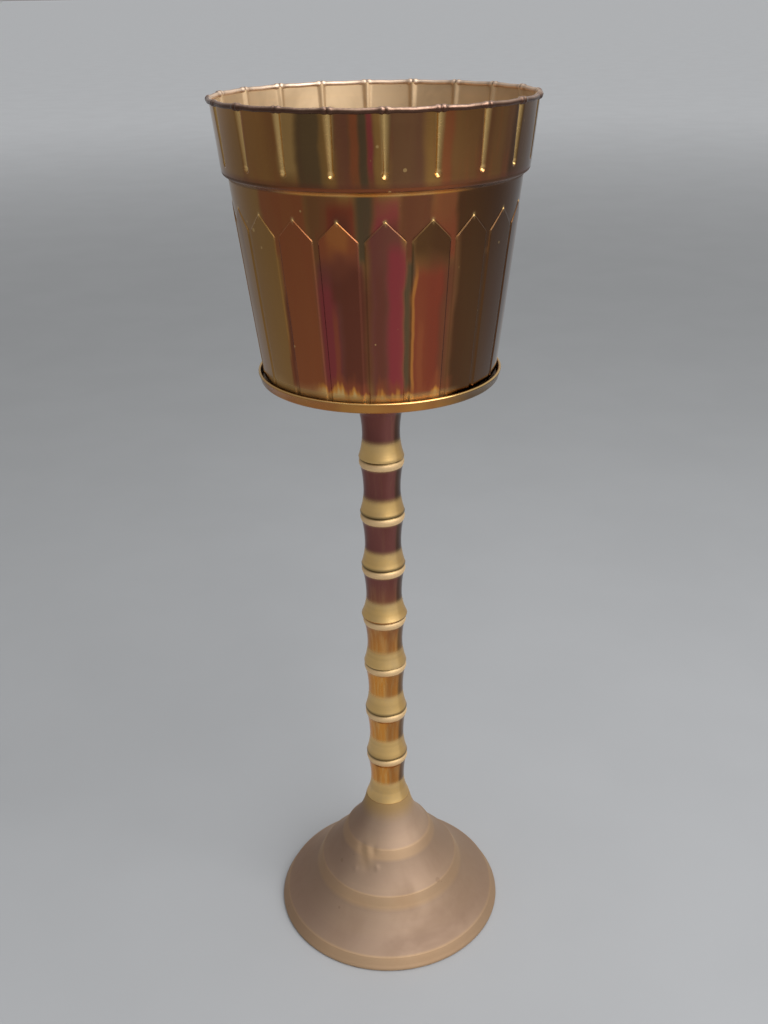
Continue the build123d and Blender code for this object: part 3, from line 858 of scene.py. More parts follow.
def base_bronze():
    """Satin taupe bronze of the base, golden on its steps and dents and towards its neck, with painted shade
    on its left flank and lower right.
    """
    coat = Surface("base bronze", Metallic=1.0)
    rings = coat.effect("Turning Rings", Fineness=500.0)
    wear = coat.effect("Handling Wear", Smudge_Scale=12.0, Speck_Scale=60.0)
    spot = coat.effect("Bearing")
    height = spot["Height"]
    neck = BASE_HIGH[2]
    sideways = spot["Degrees"].math("RADIANS").math("SINE")
    golden = shade("bronze", 1.30, 1.26, 1.05)
    coat.colour = coat.mix(wear["Smudge"] * 0.15, "bronze", "umber")
    coat.lay("satin", rings["Band"].ramp(0.3, 0.7, 0.0, 0.18))
    coat.lay("satin", coat.mask("edge") * rings["Band"].ramp(0.2, 0.6, 0.05, 0.16))
    coat.lay(golden, coat.mask("riser") * 0.8)
    coat.lay(golden, coat.mask("crumple") * 0.7)
    # Painted shade: darker on the lower right, and purple-brown on the left flank.
    coat.lay("umber", sideways.ramp(0.10, 0.95, 0.0, 0.45) * height.ramp(90 * MM, 78 * MM))
    coat.lay(shade("plum", 1.0, 1.9, 1.7), sideways.ramp(-0.55, -0.98, 0.0, 0.40))
    coat.lay(shade("gold", 0.62), height.ramp(neck - 25 * MM, neck - 7 * MM, 0.0, 0.75))
    coat.lay("umber", wear["Speck"] * 0.4)
    return coat.finish(wear["Smudge"].ramp(0.0, 1.0, 0.70, 0.80), rings["Ring"], 0.12, 0.0005)


def zinc_steel():
    """Plated steel of the fasteners."""
    coat = Surface("zinc steel", Metallic=1.0)
    smudge = coat.effect("Handling Wear", Smudge_Scale=120.0)["Smudge"]
    coat.colour = coat.mix(smudge * 0.7, "zinc", shade("zinc", 0.55))
    return coat.finish(smudge.ramp(0.0, 1.0, 0.25, 0.5), smudge, 0.1, 0.0003)


def cast_iron():
    """Rough cast iron of the weight."""
    coat = Surface("cast iron", Metallic=1.0)
    place = place_in(coat.tree)
    grain = noise(place, 900.0, 4.0)
    coat.colour = coat.mix(noise(place, 60.0, 4.0).ramp(0.5, 0.7, 0.0, 0.5), "iron", "umber")
    return coat.finish(grain.ramp(0.3, 0.7, 0.55, 0.85), grain, 0.5, 0.0006)


def felt_green():
    """Pressed felt under the base."""
    coat = Surface("green felt")
    fuzz = noise(place_in(coat.tree), 1800.0, 5.0, 0.7)
    coat.colour = coat.mix(fuzz.ramp(0.4, 0.7), "felt", shade("felt", 2.2))
    return coat.finish(fuzz.ramp(0.3, 0.7, 0.85, 1.0), fuzz, 0.6, 0.0008)


def finish(maker):
    """The finish that a function makes, made on first use."""
    if maker not in shared:
        shared[maker] = maker()
    return shared[maker]


# ---- Bucket ----


def mirrored(steps):
    """The steps of half a pattern unit, with their mirror image before them."""
    return [-step for step in reversed(steps[1:])] + list(steps)


def pattern_angles(sizes, steps):
    """Angles of every pattern unit round the bucket, from the steps of half a unit."""
    unit = FULL_TURN / sizes.pattern
    return np.array([(copy + step) * unit for copy in range(sizes.pattern) for step in mirrored(steps)[1:]])


def ladder(*rungs):
    """Heights from each level down to the next, for pairs of a level and the step under it."""
    heights = []
    for (start, step), (end, _) in zip(rungs, rungs[1:]):
        count = max(1, round(abs(start - end) / step))
        heights += [start + (end - start) * i / count for i in range(count)]
    return heights


class BucketPlan:
    """Heights, radii and shares of the pattern that follow from the bucket's sizes."""

    bevel = 1.1 * MM

    def __init__(self, sizes):
        self.sizes = sizes
        self.foot = BUCKET_LOW[2]
        self.collar = self.foot + sizes.collar_rise
        self.rim = self.collar + sizes.collar_height
        self.wall_radius = sizes.foot_radius + sizes.wall_spread
        self.collar_radius = self.wall_radius + sizes.collar_step
        self.rim_radius = self.collar_radius + sizes.collar_spread + sizes.sheet / 2
        self.step_top = self.collar + 8 * MM
        self.wall_top = self.collar - 3 * MM
        self.point = self.collar - sizes.picket_drop
        self.shoulder = self.point - sizes.picket_point
        self.picket_foot = self.foot + sizes.picket_foot
        self.wall_end = self.picket_foot - 0.4 * MM
        self.flute_end = self.collar + sizes.flute_stop
        self.unit = FULL_TURN / sizes.pattern
        unit_width = self.unit * self.wall_at(self.shoulder)
        self.side = 0.5 - sizes.picket_gap / unit_width / 2
        self.bevel_share = 1.5 * self.bevel / unit_width

    def wall_at(self, z):
        """Radius of the wall at a height."""
        return self.sizes.foot_radius + self.sizes.wall_spread * (z - self.foot) / self.sizes.collar_rise

    def collar_at(self, z):
        """Radius of the collar at a height."""
        spread = self.rim_radius - self.collar_radius
        return self.collar_radius + spread * (z - self.collar) / (self.rim - self.collar)


def bucket_angles(plan):
    """Angles that are close together on the flutes and on the sides of the pickets."""
    steps = [0.0, 0.010, 0.021, 0.033, 0.046, 0.060, 0.075, 0.092, 0.112]
    steps += [0.15, 0.20, 0.26, 0.32, 0.37, 0.40]
    steps += [plan.side - plan.bevel_share * part for part in (1.0, 0.8, 0.6, 0.4, 0.2, 0.0)]
    steps += [plan.side + 0.4 * (0.5 - plan.side), 0.5]
    return pattern_angles(plan.sizes, steps)


def bucket_skin(plan, inset):
    """One skin of the sheet from the rim down to the middle of the floor."""
    sizes = plan.sizes
    kick = sizes.foot_radius - 2.6 * MM - sizes.foot_ring
    kick_run = sizes.floor_rise / 2
    foot = plan.foot + inset
    floor = plan.foot + sizes.floor_rise + inset
    rise = inset * (hypot(sizes.collar_step, sizes.collar_round) - sizes.collar_round) / sizes.collar_step
    kick_shift = inset * (hypot(kick_run, sizes.floor_rise) - kick_run) / sizes.floor_rise
    collar_heights = ladder(
        (plan.rim, 3 * MM),
        (plan.flute_end + 5 * MM, 0.7 * MM),
        (plan.flute_end - 4 * MM, 0),
    )
    wall_heights = ladder(
        (plan.wall_top, 1.6 * MM),
        (plan.point, plan.bevel / 5),
        (plan.point - 1.4 * plan.bevel, 2.5 * MM),
        (plan.point - 40 * MM, 6 * MM),
        (plan.picket_foot + plan.bevel, plan.bevel / 4),
        (plan.wall_end, 0),
    )
    step = rounded(
        [
            (plan.collar_at(plan.step_top) - inset, plan.step_top),
            (plan.collar_radius - inset, plan.collar + sizes.collar_round + rise),
            (plan.wall_radius - inset, plan.collar + rise),
            (plan.wall_at(plan.wall_top) - inset, plan.wall_top),
        ],
        [2.7 * MM - inset, 1.7 * MM + inset],
        6,
    )
    bottom = rounded(
        [
            (plan.wall_at(plan.wall_end) - inset, plan.wall_end),
            (sizes.foot_radius - inset, foot),
            (kick + kick_shift, foot),
            (kick - kick_run + kick_shift, floor),
            (kick * 0.45, floor),
        ],
        [1.7 * MM - inset, 2.5 * MM - inset, 1.5 * MM + inset],
        5,
    )
    top = [(plan.collar_at(z) - inset, z) for z in collar_heights if z > plan.step_top]
    middle = [(plan.wall_at(z) - inset, z) for z in wall_heights]
    return top + step[:-1] + middle + bottom + [(kick * 0.2, floor), (AXIS, floor)]


def bucket_shift(plan, outer_rows):
    """The shift that presses pickets, flutes and a little unevenness into the bucket."""
    sizes = plan.sizes
    bevel = plan.bevel

    def shift(turn, radius, height, row):
        off = np.abs((turn / plan.unit + 0.5) % 1.0 - 0.5)
        outside = row < outer_rows
        # rows near the top of the pickets sink between them, and so follow their points
        above = smooth((plan.wall_top - height) / (plan.wall_top - plan.point))
        below = 1 - smooth((plan.point - 2 * bevel - height) / (75 * MM))
        on_wall = (height < plan.wall_top) & (height > plan.picket_foot)
        warp = np.where(height >= plan.point, above, below) * on_wall
        lowered = height - sizes.picket_point * warp * np.minimum(off / plan.side, 1.0)
        radius = radius - (height - lowered) * (sizes.wall_spread / sizes.collar_rise)
        # pickets stand out with bevelled sides and flattened faces
        face = smooth((plan.side - off) / plan.bevel_share)
        face = face * smooth((plan.point - height) / bevel)
        face = face * smooth((height - plan.picket_foot) / bevel + 0.35)
        sag = radius * (1 - cos(plan.unit * plan.side))
        flatten = sizes.picket_flat * sag * (1 - (off / plan.side) ** 2 - 0.5)
        radius = radius + face * (sizes.picket_raise - flatten)
        # flutes are pressed into the collar and end in a round dimple
        across = off * plan.unit * radius
        along = np.clip((height - plan.flute_end) / (plan.rim - plan.flute_end), 0.0, 1.0)
        width = sizes.flute_tail + (sizes.flute_top - sizes.flute_tail) * along
        trough = np.cos(0.5 * pi * np.clip(across / width, 0.0, 1.0)) ** 2
        trough = trough * smooth((height - plan.flute_end) / (1.5 * MM) + 0.3) * (0.75 + 0.25 * along)
        gone = np.hypot(across, height - plan.flute_end) / sizes.dimple
        round_end = np.clip(1 - gone * gone, 0.0, 1.0) ** 1.3
        on_collar = height > plan.collar + 3 * MM
        radius = radius - sizes.flute_depth * np.maximum(trough, round_end) * on_collar
        # the hand-worked sheet is a little uneven
        wave = np.sin(3 * turn + 40 * lowered) + np.sin(5 * turn - 63 * lowered + 1.0)
        wave = wave + 0.6 * np.sin(8 * turn + 90 * lowered + 2.0)
        standing = (lowered > plan.foot + 8 * MM) & (lowered < plan.rim - 4 * MM)
        radius = radius + 0.05 * MM * wave * standing
        on_picket = (height < plan.point) * (height > plan.picket_foot)
        slant = (face > 0.02) & (face < 0.98) & (lowered > plan.shoulder - bevel)
        from_point = np.hypot(across, lowered - plan.point + 0.6 * MM) / (1.1 * MM)
        # The flute, dimple, slant and point masks also place painted highlights in the lacquer.
        masks = {
            "picket": smooth((plan.side - off) / (0.6 * plan.bevel_share)) * on_picket * outside,
            "flute": (trough ** 0.7) * on_collar,
            "dimple": round_end * on_collar,
            "apex": np.exp(-(from_point ** 2)) * outside,
            "slant": slant * outside * 1.0,
        }
        return radius, lowered, masks

    return shift


def bucket_mesh(sizes):
    """The pressed shell: collar with flutes, wall with pickets, kicked-up floor, plain inside."""
    plan = BucketPlan(sizes)
    outer = bucket_skin(plan, 0.0)
    inner = bucket_skin(plan, sizes.sheet)
    zones = [0] * len(outer) + [1] * len(inner)
    return lathe(
        "bucket_wall",
        outer + inner[::-1],
        bucket_angles(plan),
        bucket_shift(plan, len(outer)),
        zones=zones,
        crease=50.0,
        crowding=sizes.crowding,
    )


def rim_mesh(sizes):
    """The rolled rim, drawn in and knotted over each flute."""
    centre = (WIRE_LOW[2] + WIRE_HIGH[2]) / 2
    circle = WIRE_HIGH[0] - (WIRE_HIGH[2] - WIRE_LOW[2]) / 2
    around = [FULL_TURN * i / 16 for i in range(16)]
    section = [(circle + sizes.bead * cos(a), centre + sizes.bead * sin(a)) for a in around]
    unit = FULL_TURN / sizes.pattern
    steps = [0.0, 0.012, 0.024, 0.036, 0.05, 0.065, 0.085, 0.12, 0.18, 0.26, 0.34, 0.42, 0.5]

    def bump_at(off, place, width):
        """A soft bump at a distance from the middle of a flute."""
        return np.exp(-(((off - place * MM) / (width * MM)) ** 2))

    def shift(turn, radius, height, row):
        off = np.abs((turn / unit + 0.5) % 1.0 - 0.5) * unit * circle
        copy = np.floor(turn / unit + 0.5)
        uneven = 0.8 + 0.2 * np.sin(2.3 * copy)
        shoulder = bump_at(off, 1.9, 1.9) * uneven
        crease = bump_at(off, 0.0, 0.8)
        pinch = bump_at(off, 5.4, 1.2)
        size = 1 + shoulder * (sizes.knot / sizes.bead - 1) - 0.08 * pinch
        scallop = 0.40 * MM * (off / (0.5 * unit * circle)) ** 2
        out = (radius - circle) / sizes.bead
        up = (height - centre) / sizes.bead
        # The knot and shade masks place painted shade in the creases and on the lower outer side of the
        # bead.
        masks = {
            "knot": np.maximum(crease, 0.7 * pinch),
            "shade": smooth((0.72 - up) / 0.5) * smooth((out + 0.2) / 0.4),
            "lining": smooth(-(out + 0.1) / 0.4),
        }
        reach = circle + (radius - circle) * size - 0.15 * MM + 0.4 * scallop
        top = np.minimum(centre + (height - centre) * size - scallop, BUCKET_HIGH[2])
        return reach, top, masks

    angles = pattern_angles(sizes, steps)
    return lathe("bucket_rim", section, angles, shift, crease=60.0, crowding=sizes.crowding)


# ---- Tray, stem and base ----


def eased_side(reach, low, high, ease):
    """The outer side of a disc from its underside to its top, with eased edges."""
    return [(reach - ease, low), (reach, low + ease), (reach, high - ease), (reach - ease, high)]


def tray_mesh(sizes):
    """Spun dish with a low leaning wall and a hemmed edge."""
    low = TRAY_LOW[2]
    reach = TRAY_HIGH[0] + sizes.tray_swell
    sheet = sizes.sheet
    foot = reach - sizes.tray_lean
    wall = reach - sizes.hem + sheet / 2
    hem_z = TRAY_HIGH[2] - sizes.hem
    hem_x = reach - sizes.hem
    hem = [
        (hem_x + sizes.hem * cos(a), hem_z + sizes.hem * sin(a))
        for a in np.linspace(-0.25 * pi, 1.25 * pi, 12)
    ]
    under = [(sizes.rod_hole, low), (foot * 0.5, low), (foot, low), (wall, hem_z - sizes.hem)]
    above = [
        (wall - sheet, hem_z - sizes.hem),
        (foot - sheet, low + sheet),
        (foot * 0.5, low + sheet),
        (sizes.rod_hole, low + sheet),
    ]
    under = rounded(under, [0, 2.4 * MM], 6)
    above = rounded(above, [1.4 * MM, 0], 6)
    covered = len(under) + len(hem)

    # The mask marks the inside corner by the hem, where painted shade goes.
    def shift(turn, radius, height, row):
        return radius, height, {"well": (row >= covered) * smooth((radius - reach + 9 * MM) / (4 * MM))}

    return lathe("tray_dish", under + hem + above, even_turn(192), shift, crease=40.0)


def support_mesh(sizes):
    """Spun flared support between the stem and the tray."""
    low = SUPPORT_LOW[2]
    top = SUPPORT_HIGH[2]
    reach = SUPPORT_HIGH[0]
    seat = UPPER_HIGH[2]
    seat_radius = 17.2 * MM
    spigot = 16.2 * MM
    sheet = 1.2 * MM
    ease = 0.6 * MM
    flare = hollow_run((seat_radius, seat), (reach, top - ease), 3.0 * MM, 16)
    path = [(sizes.rod_hole, top), (reach * 0.6, top), (reach - ease, top), (reach, top - 0.3 * MM)]
    path += flare[::-1]
    path += [(spigot, seat - 0.1 * MM), (spigot, low)]
    inside = [(spigot - sheet, low), (spigot - sheet, seat + 1.0 * MM)]
    inside += [(r - 1.0 * MM, z + sheet) for r, z in flare[2:-3]]
    inside += [(reach * 0.75, top - sheet), (sizes.rod_hole, top - sheet)]
    return lathe("tray_flare", path + inside, even_turn(128), crease=40.0)


def joint_path(sizes, start, foot, top):
    """Outer skin of one bamboo joint: flared foot, neck, swell and the bead under its groove."""
    neck = (sizes.neck, foot + sizes.neck_rise)
    bead_low = top - sizes.groove_width - sizes.ring_height
    bulge = sizes.ring - sizes.ring_foot
    edge = [(start - 0.35 * MM, foot), (start - 0.08 * MM, foot + 0.15 * MM)]
    down = swing(neck, (start, foot + 0.5 * MM))[::-1]
    up = swing(neck, (sizes.ring_foot, bead_low))
    bead = [
        (sizes.ring_foot + bulge * sin(pi * (i / 10) ** 1.15) ** 0.6, bead_low + sizes.ring_height * i / 10)
        for i in range(1, 11)
    ]
    return edge + down + up[1:] + bead


def tube_path(sizes, low, high):
    """Outer skin of a bamboo tube from its bell to its top."""
    joints = max(1, round((high - low) / sizes.joint_pitch))
    path = joint_path(sizes, UPPER_HIGH[0], low, low + sizes.joint_pitch)
    for joint in range(1, joints):
        foot = low + joint * sizes.joint_pitch
        top = high if joint == joints - 1 else foot + sizes.joint_pitch
        path += [
            (sizes.groove + 0.1 * MM, foot - 0.62 * sizes.groove_width),
            (sizes.groove, foot - 0.3 * sizes.groove_width),
            (sizes.groove + 0.1 * MM, foot - 0.04 * MM),
        ]
        path += joint_path(sizes, sizes.flare, foot, top)
    return path + [(sizes.ring_foot, high)]


def tube_mesh(name, sizes, low, high):
    """A bamboo tube with its inside, and masks for its lacquered necks, beads and grooves."""
    bore = sizes.neck - 1.5 * MM
    bell = UPPER_HIGH[0]
    inner = [(bore, high), (bore, low + sizes.neck_rise)]
    inner += [(bell - 1.5 * MM, low + 0.8 * MM), (bell - 1.1 * MM, low)]
    bead_top = sizes.joint_pitch - sizes.groove_width
    bead_low = bead_top - sizes.ring_height
    last_bead = UPPER_HIGH[2] - 12 * MM
    fade = 4.5 * MM

    def shift(turn, radius, height, row):
        joint = np.clip(np.floor((height - low - 0.01 * MM) / sizes.joint_pitch), 0, 3)
        over = sizes.joint_pitch - (high - low) % sizes.joint_pitch
        local = height - low - joint * sizes.joint_pitch + np.where(joint == 3, over, 0.0)
        climb = (height - LOWER_LOW[2]) / (UPPER_HIGH[2] - LOWER_LOW[2])
        lowered = np.where(climb < 0.88, 7.5 * climb, 3.0) * MM
        neck = smooth((local - sizes.neck_rise + lowered + fade) / (2 * fade))
        neck = neck * smooth((bead_low + 0.5 * MM - local) / (0.8 * MM))
        neck = np.maximum(neck, (height > last_bead) * 1.0)
        bead = smooth((local - bead_low) / (0.6 * MM)) * smooth((bead_top + 0.1 * MM - local) / (0.5 * MM))
        bead = bead * (height < last_bead)
        groove = np.exp(-(((local - sizes.joint_pitch + 0.7 * MM) / (0.9 * MM)) ** 2))
        groove = np.maximum(groove, np.exp(-((local / (1.0 * MM)) ** 2)) * (height > low + 3 * MM))
        return radius, height, {"neck": neck, "bead": bead, "groove": groove}

    return lathe(name, tube_path(sizes, low, high) + inner, even_turn(128), shift, crease=32.0)


def base_steps(sizes):
    """The edge and the foot of each step of the base, from the top down."""
    return (
        ((sizes.upper_step, sizes.upper_top), (sizes.upper_foot, sizes.upper_base)),
        ((sizes.lower_step, sizes.lower_top), (sizes.lower_foot, sizes.lower_base)),
        ((BASE_HIGH[0] - sizes.rim_lean, sizes.rim_wall), (BASE_HIGH[0], BASE_LOW[2])),
    )


def base_path(sizes):
    """Outer skin of the base shell from its neck down to its turned-in lip."""
    top = BASE_HIGH[2]
    seat_z = top - sizes.spigot_rise
    reach = BASE_HIGH[0]
    floor = BASE_LOW[2]
    path = [(sizes.rod_hole, top), (sizes.spigot - 0.4 * MM, top), (sizes.spigot, top - 0.4 * MM)]
    path += [(sizes.spigot, seat_z + 0.1 * MM), (sizes.seat - 0.3 * MM, seat_z)]
    start = (sizes.seat, seat_z - 0.3 * MM)
    for (edge, foot), sag in zip(base_steps(sizes), (sizes.top_hollow, sizes.hollow, sizes.hollow)):
        foot = (foot[0], max(foot[1], floor + 1.6 * MM))
        run = hollow_run(start, edge, sag, 18)
        path += run[1:-1] + corner(run[-2], edge, foot, 0.9 * MM, 5)
        for f in (0.35, 0.6, 0.82):
            path.append((edge[0] + (foot[0] - edge[0]) * f, edge[1] + (foot[1] - edge[1]) * f))
        start = foot
    lip = [(reach - 0.3 * MM, floor + 2.4 * MM), (reach, floor)]
    lip += [(reach - 4 * MM, floor), (reach - 8 * MM, floor)]
    return path + rounded(lip, [1.5 * MM, 0], 6)


# Knocks in the left front of the base: bearing in degrees, then radius, height, size and
# depth in millimetres.
KNOCKS = (
    (-24.0, 40.5, 81.5, 3.0, -1.1),
    (-33.0, 41.5, 79.5, 2.6, 0.9),
    (-43.0, 40.5, 81.5, 3.8, -1.4),
    (-38.0, 44.5, 75.0, 4.5, -1.1),
    (-28.0, 45.5, 73.5, 3.0, 0.7),
    (-17.0, 48.5, 69.0, 2.1, 1.1),
    (-41.0, 52.5, 63.7, 2.1, 1.1),
    (-30.0, 50.0, 67.5, 4.5, -0.6),
    (-60.0, 64.0, 50.0, 9.0, -0.8),
)


def base_mesh(sizes):
    """The spun base with a few knocks in its left front."""

    def round_from(turn, degrees, radius):
        """Distance round the base from a bearing."""
        return np.angle(np.exp(1j * (turn - radians(degrees)))) * radius

    def shift(turn, radius, height, row):
        moved = np.zeros_like(radius)
        for degrees, reach, at, size, depth in KNOCKS:
            aside = round_from(turn, degrees, radius)
            away = np.sqrt(aside ** 2 + (radius - reach * MM) ** 2 + (height - at * MM) ** 2)
            moved += depth * MM * np.exp(-((away / (size * MM)) ** 2))
        ripple = 0.06 * MM * (np.sin(3 * turn + 50 * height) + np.sin(7 * turn - 35 * height))
        loose = (height > BASE_LOW[2] + 6 * MM) & (height < BASE_HIGH[2] - 12 * MM)
        lift = (moved + ripple) * loose
        aside = round_from(turn, -32, radius)
        crumple = np.exp(-((aside / (9 * MM)) ** 2) - ((height - 75 * MM) / (9 * MM)) ** 2)
        edge = np.zeros_like(radius)
        riser = np.zeros_like(radius)
        for top, foot in base_steps(sizes):
            away = (radius - top[0]) ** 2 + (height - top[1]) ** 2
            edge = np.maximum(edge, np.exp(-(away / (0.8 * MM) ** 2)))
            on_riser = (height < top[1] + 0.5 * MM) & (height > foot[1] - 0.5 * MM)
            on_riser = on_riser & (radius > top[0] - 1.2 * MM)
            riser = np.maximum(riser, on_riser * smooth((foot[0] + 1 * MM - radius) / (1 * MM)))
        return radius + 0.6 * lift, height + 0.8 * lift, {"edge": edge, "riser": riser, "crumple": crumple}

    return lathe("base_dome", backed(base_path(sizes), -sizes.sheet), even_turn(256), shift, crease=45.0)


def coupling_mesh(sizes):
    """Turned disc with a spigot into each tube."""
    low = COUPLING_LOW[2]
    high = COUPLING_HIGH[2]
    disc_low = LOWER_HIGH[2]
    disc_high = UPPER_LOW[2]
    lower = sizes.ring_foot - sizes.sheet - 0.3 * MM
    upper = sizes.neck - sizes.sheet - 0.3 * MM
    ease = 0.5 * MM
    outline = [(sizes.rod_hole, low), (lower - ease, low), (lower, low + ease), (lower, disc_low)]
    outline += eased_side(COUPLING_HIGH[0], disc_low, disc_high, 0.2 * MM)
    outline += [(upper, disc_high), (upper, high - ease), (upper - ease, high), (sizes.rod_hole, high)]
    return lathe("stem_disc", outline, even_turn(128), crease=30.0)


# ---- Fasteners that show when the bucket is lifted ----


def nut_mesh():
    """Hexagon nut with its corners turned off."""
    low = NUT_LOW[2]
    high = NUT_HIGH[2]
    flats = NUT_HIGH[1]
    bore = 4.05 * MM
    ease = 0.8 * MM
    lead = 0.4 * MM
    half = [(bore, lead), (bore + lead, 0), (flats * 0.97, 0), (flats * 1.02, 0.2 * MM), (flats * 1.2, ease)]
    outline = [(r, low + z) for r, z in half] + [(r, high - z) for r, z in reversed(half)]

    def shift(turn, radius, height, row):
        sixth = FULL_TURN / 6
        off = (turn + pi / 2) % sixth - sixth / 2
        hexagon = flats / np.cos(off)
        return np.where(radius > flats * 0.98, np.minimum(radius, hexagon), radius), height, {}

    return lathe("tray_nut_hex", outline, even_turn(96), shift, crease=25.0)


def washer_mesh():
    """Plain washer with eased edges."""
    low = WASHER_LOW[2]
    high = WASHER_HIGH[2]
    ease = 0.25 * MM
    outline = [(WASHER_HOLE, low), *eased_side(WASHER_HIGH[0], low, high, ease)]
    outline += [(WASHER_HOLE + ease, high), (WASHER_HOLE, high - ease)]
    return lathe("tray_washer_ring", outline, even_turn(96), crease=30.0)


def spring_washer_mesh():
    """Split spring washer, its ends a little out of line."""
    low = SPRING_LOW[2]
    high = SPRING_HIGH[2]
    slit = 0.12
    ease = 0.2 * MM
    drop = 0.25 * MM
    section = [(WASHER_HOLE, low + ease), (WASHER_HOLE + ease, low)]
    section += eased_side(SPRING_HIGH[1], low, high, ease)
    section += [(WASHER_HOLE + ease, high), (WASHER_HOLE, high - ease)]
    turns = np.linspace(slit, FULL_TURN - slit, 64)
    points = []
    for a in turns:
        part = (a - slit) / (FULL_TURN - 2 * slit)
        for r, z in section:
            squeezed = z - drop * (1 - part) if z > (low + high) / 2 else z + drop * part
            points.append((r * sin(a), -r * cos(a), squeezed))
    count = len(section)
    quads = []
    for i in range(len(turns) - 1):
        for k in range(count):
            n = (k + 1) % count
            quads.append((i * count + k, i * count + n, (i + 1) * count + n, (i + 1) * count + k))
    for end in (0, (len(turns) - 1) * count):
        for cap in ((0, 1, 6, 7), (1, 2, 5, 6), (2, 3, 4, 5)):
            quads.append(tuple(end + k for k in (cap if end else cap[::-1])))
    return mesh_piece("tray_spring_ring", np.array(points), np.array(quads), crease=30.0)


def rod_mesh():
    """Tie rod with its screw thread showing at the upper end."""
    low = ROD_LOW[2]
    high = ROD_HIGH[2]
    reach = ROD_HIGH[0]
    pitch = 1.25 * MM
    depth = 0.55 * MM
    threaded = 18 * MM
    steps = int(threaded / (pitch / 8))
    plain_rod = [(AXIS, low), (reach - 0.6 * MM, low), (reach, low + 0.6 * MM)]
    plain_rod += [(reach, high - threaded - pitch)]
    thread = [(reach, high - threaded + threaded * i / steps) for i in range(steps)]
    outline = plain_rod + thread + [(reach - 0.7 * MM, high), (AXIS, high)]

    def shift(turn, radius, height, row):
        phase = (height / pitch - turn / FULL_TURN) % 1.0
        tooth = 1 - np.abs(2 * phase - 1)
        cut = depth * (1 - np.clip(1.25 * tooth, 0.0, 1.0)) * smooth((height - high + threaded) / pitch)
        on_thread = (row >= len(plain_rod)) & (row < len(plain_rod) + steps)
        return radius - cut * on_thread, height, {}

    return lathe("tie_rod_thread", outline, even_turn(48), shift, crease=40.0)


# ---- Operators ----


class STAND_OT_bucket(bpy.types.Operator):
    """Build the bucket and its rolled rim"""

    bl_idname = "stand.bucket"
    bl_label = "Bucket"

    def execute(self, context):
        sizes = context.scene.bucket_sizes
        skins = [finish(bucket_lacquer), finish(bucket_inside)]
        finish_piece(bucket_mesh(sizes), "bucket", skins, ["bucket_shell"])
        finish_piece(rim_mesh(sizes), "bucket", [finish(rim_copper)])
        dress_node("rim_wire", finish(zinc_steel))
        return {"FINISHED"}


class STAND_OT_tray(bpy.types.Operator):
    """Build the tray and the flared support under it"""

    bl_idname = "stand.tray"
    bl_label = "Tray"

    def execute(self, context):
        sizes = context.scene.stand_sizes
        brass = [finish(tray_brass)]
        finish_piece(tray_mesh(sizes), "stand", brass, ["tray"])
        finish_piece(support_mesh(sizes), "stand", brass, ["tray_support"])
        return {"FINISHED"}


class STAND_OT_stem(bpy.types.Operator):
    """Build the two bamboo tubes and the disc between them"""

    bl_idname = "stand.stem"
    bl_label = "Stem"

    def execute(self, context):
        sizes = context.scene.stand_sizes
        for name, low, high in (
            ("stem_tube_lower", LOWER_LOW[2], LOWER_HIGH[2]),
            ("stem_tube_upper", UPPER_LOW[2], UPPER_HIGH[2]),
        ):
            tube = tube_mesh(name + "_bamboo", sizes, low, high)
            finish_piece(tube, "stand", [finish(stem_lacquer)], [name])
        disc = coupling_mesh(sizes)
        finish_piece(disc, "stand", [finish(tray_brass)], ["stem_coupling"])
        return {"FINISHED"}


class STAND_OT_base(bpy.types.Operator):
    """Build the stepped base and dress what is in and under it"""

    bl_idname = "stand.base"
    bl_label = "Base"

    def execute(self, context):
        dome = base_mesh(context.scene.stand_sizes)
        finish_piece(dome, "stand", [finish(base_bronze)], ["base_shell"])
        dress_node("base_felt", finish(felt_green))
        dress_node("base_plate", finish(zinc_steel))
        dress_node("base_weight", finish(cast_iron))
        return {"FINISHED"}


class STAND_OT_fasteners(bpy.types.Operator):
    """Build the fasteners on the tray and dress the hidden ones"""

    bl_idname = "stand.fasteners"
    bl_label = "Fasteners"

    def execute(self, context):
        zinc = finish(zinc_steel)
        for piece, node in (
            (nut_mesh(), "tray_nut"),
            (washer_mesh(), "tray_washer"),
            (spring_washer_mesh(), "tray_spring_washer"),
            (rod_mesh(), "tie_rod_upper"),
        ):
            finish_piece(piece, "stand", [zinc], [node])
        hidden = ("tie_rod_lower", "rod_coupling_nut", "coupling_washer")
        hidden += ("base_nut", "base_spring_washer", "base_washer", "plate_screws")
        for node in hidden:
            dress_node(node, zinc)
        return {"FINISHED"}


def floor_material(settings):
    """Pale floor, a little darker a step away from the stand and bright in the distance."""
    coat = Surface("pale floor", Roughness=0.6, Specular_IOR_Level=0.2)
    place = place_in(coat.tree)
    reach = value_of(coat.tree, "VectorMath", {0: place}, "Value", operation="LENGTH")
    coat.colour = coat.mix(reach.ramp(0.3, 1.5), settings.floor, settings.far_floor)
    coat.lay([2.0 * part for part in settings.floor], reach.ramp(1.8, 8.0))
    mottle = noise(place, 5.0).ramp(0.3, 0.7, 0.97, 1.0)
    plug(coat.shader.inputs["Base Color"], mixed(coat.tree, 1.0, coat.colour, mottle, "MULTIPLY"))
    return coat.material


def add_lamp(name, place, aim, size, power):
    """A square area lamp that looks at a point."""
    data = bpy.data.lights.new(name, "AREA")
    data.size = size
    data.energy = power
    lamp = bpy.data.objects.new(name, data)
    lamp.location = place
    lamp.rotation_euler = (Vector(aim) - Vector(place)).to_track_quat("-Z", "Y").to_euler()
    bpy.context.scene.collection.objects.link(lamp)


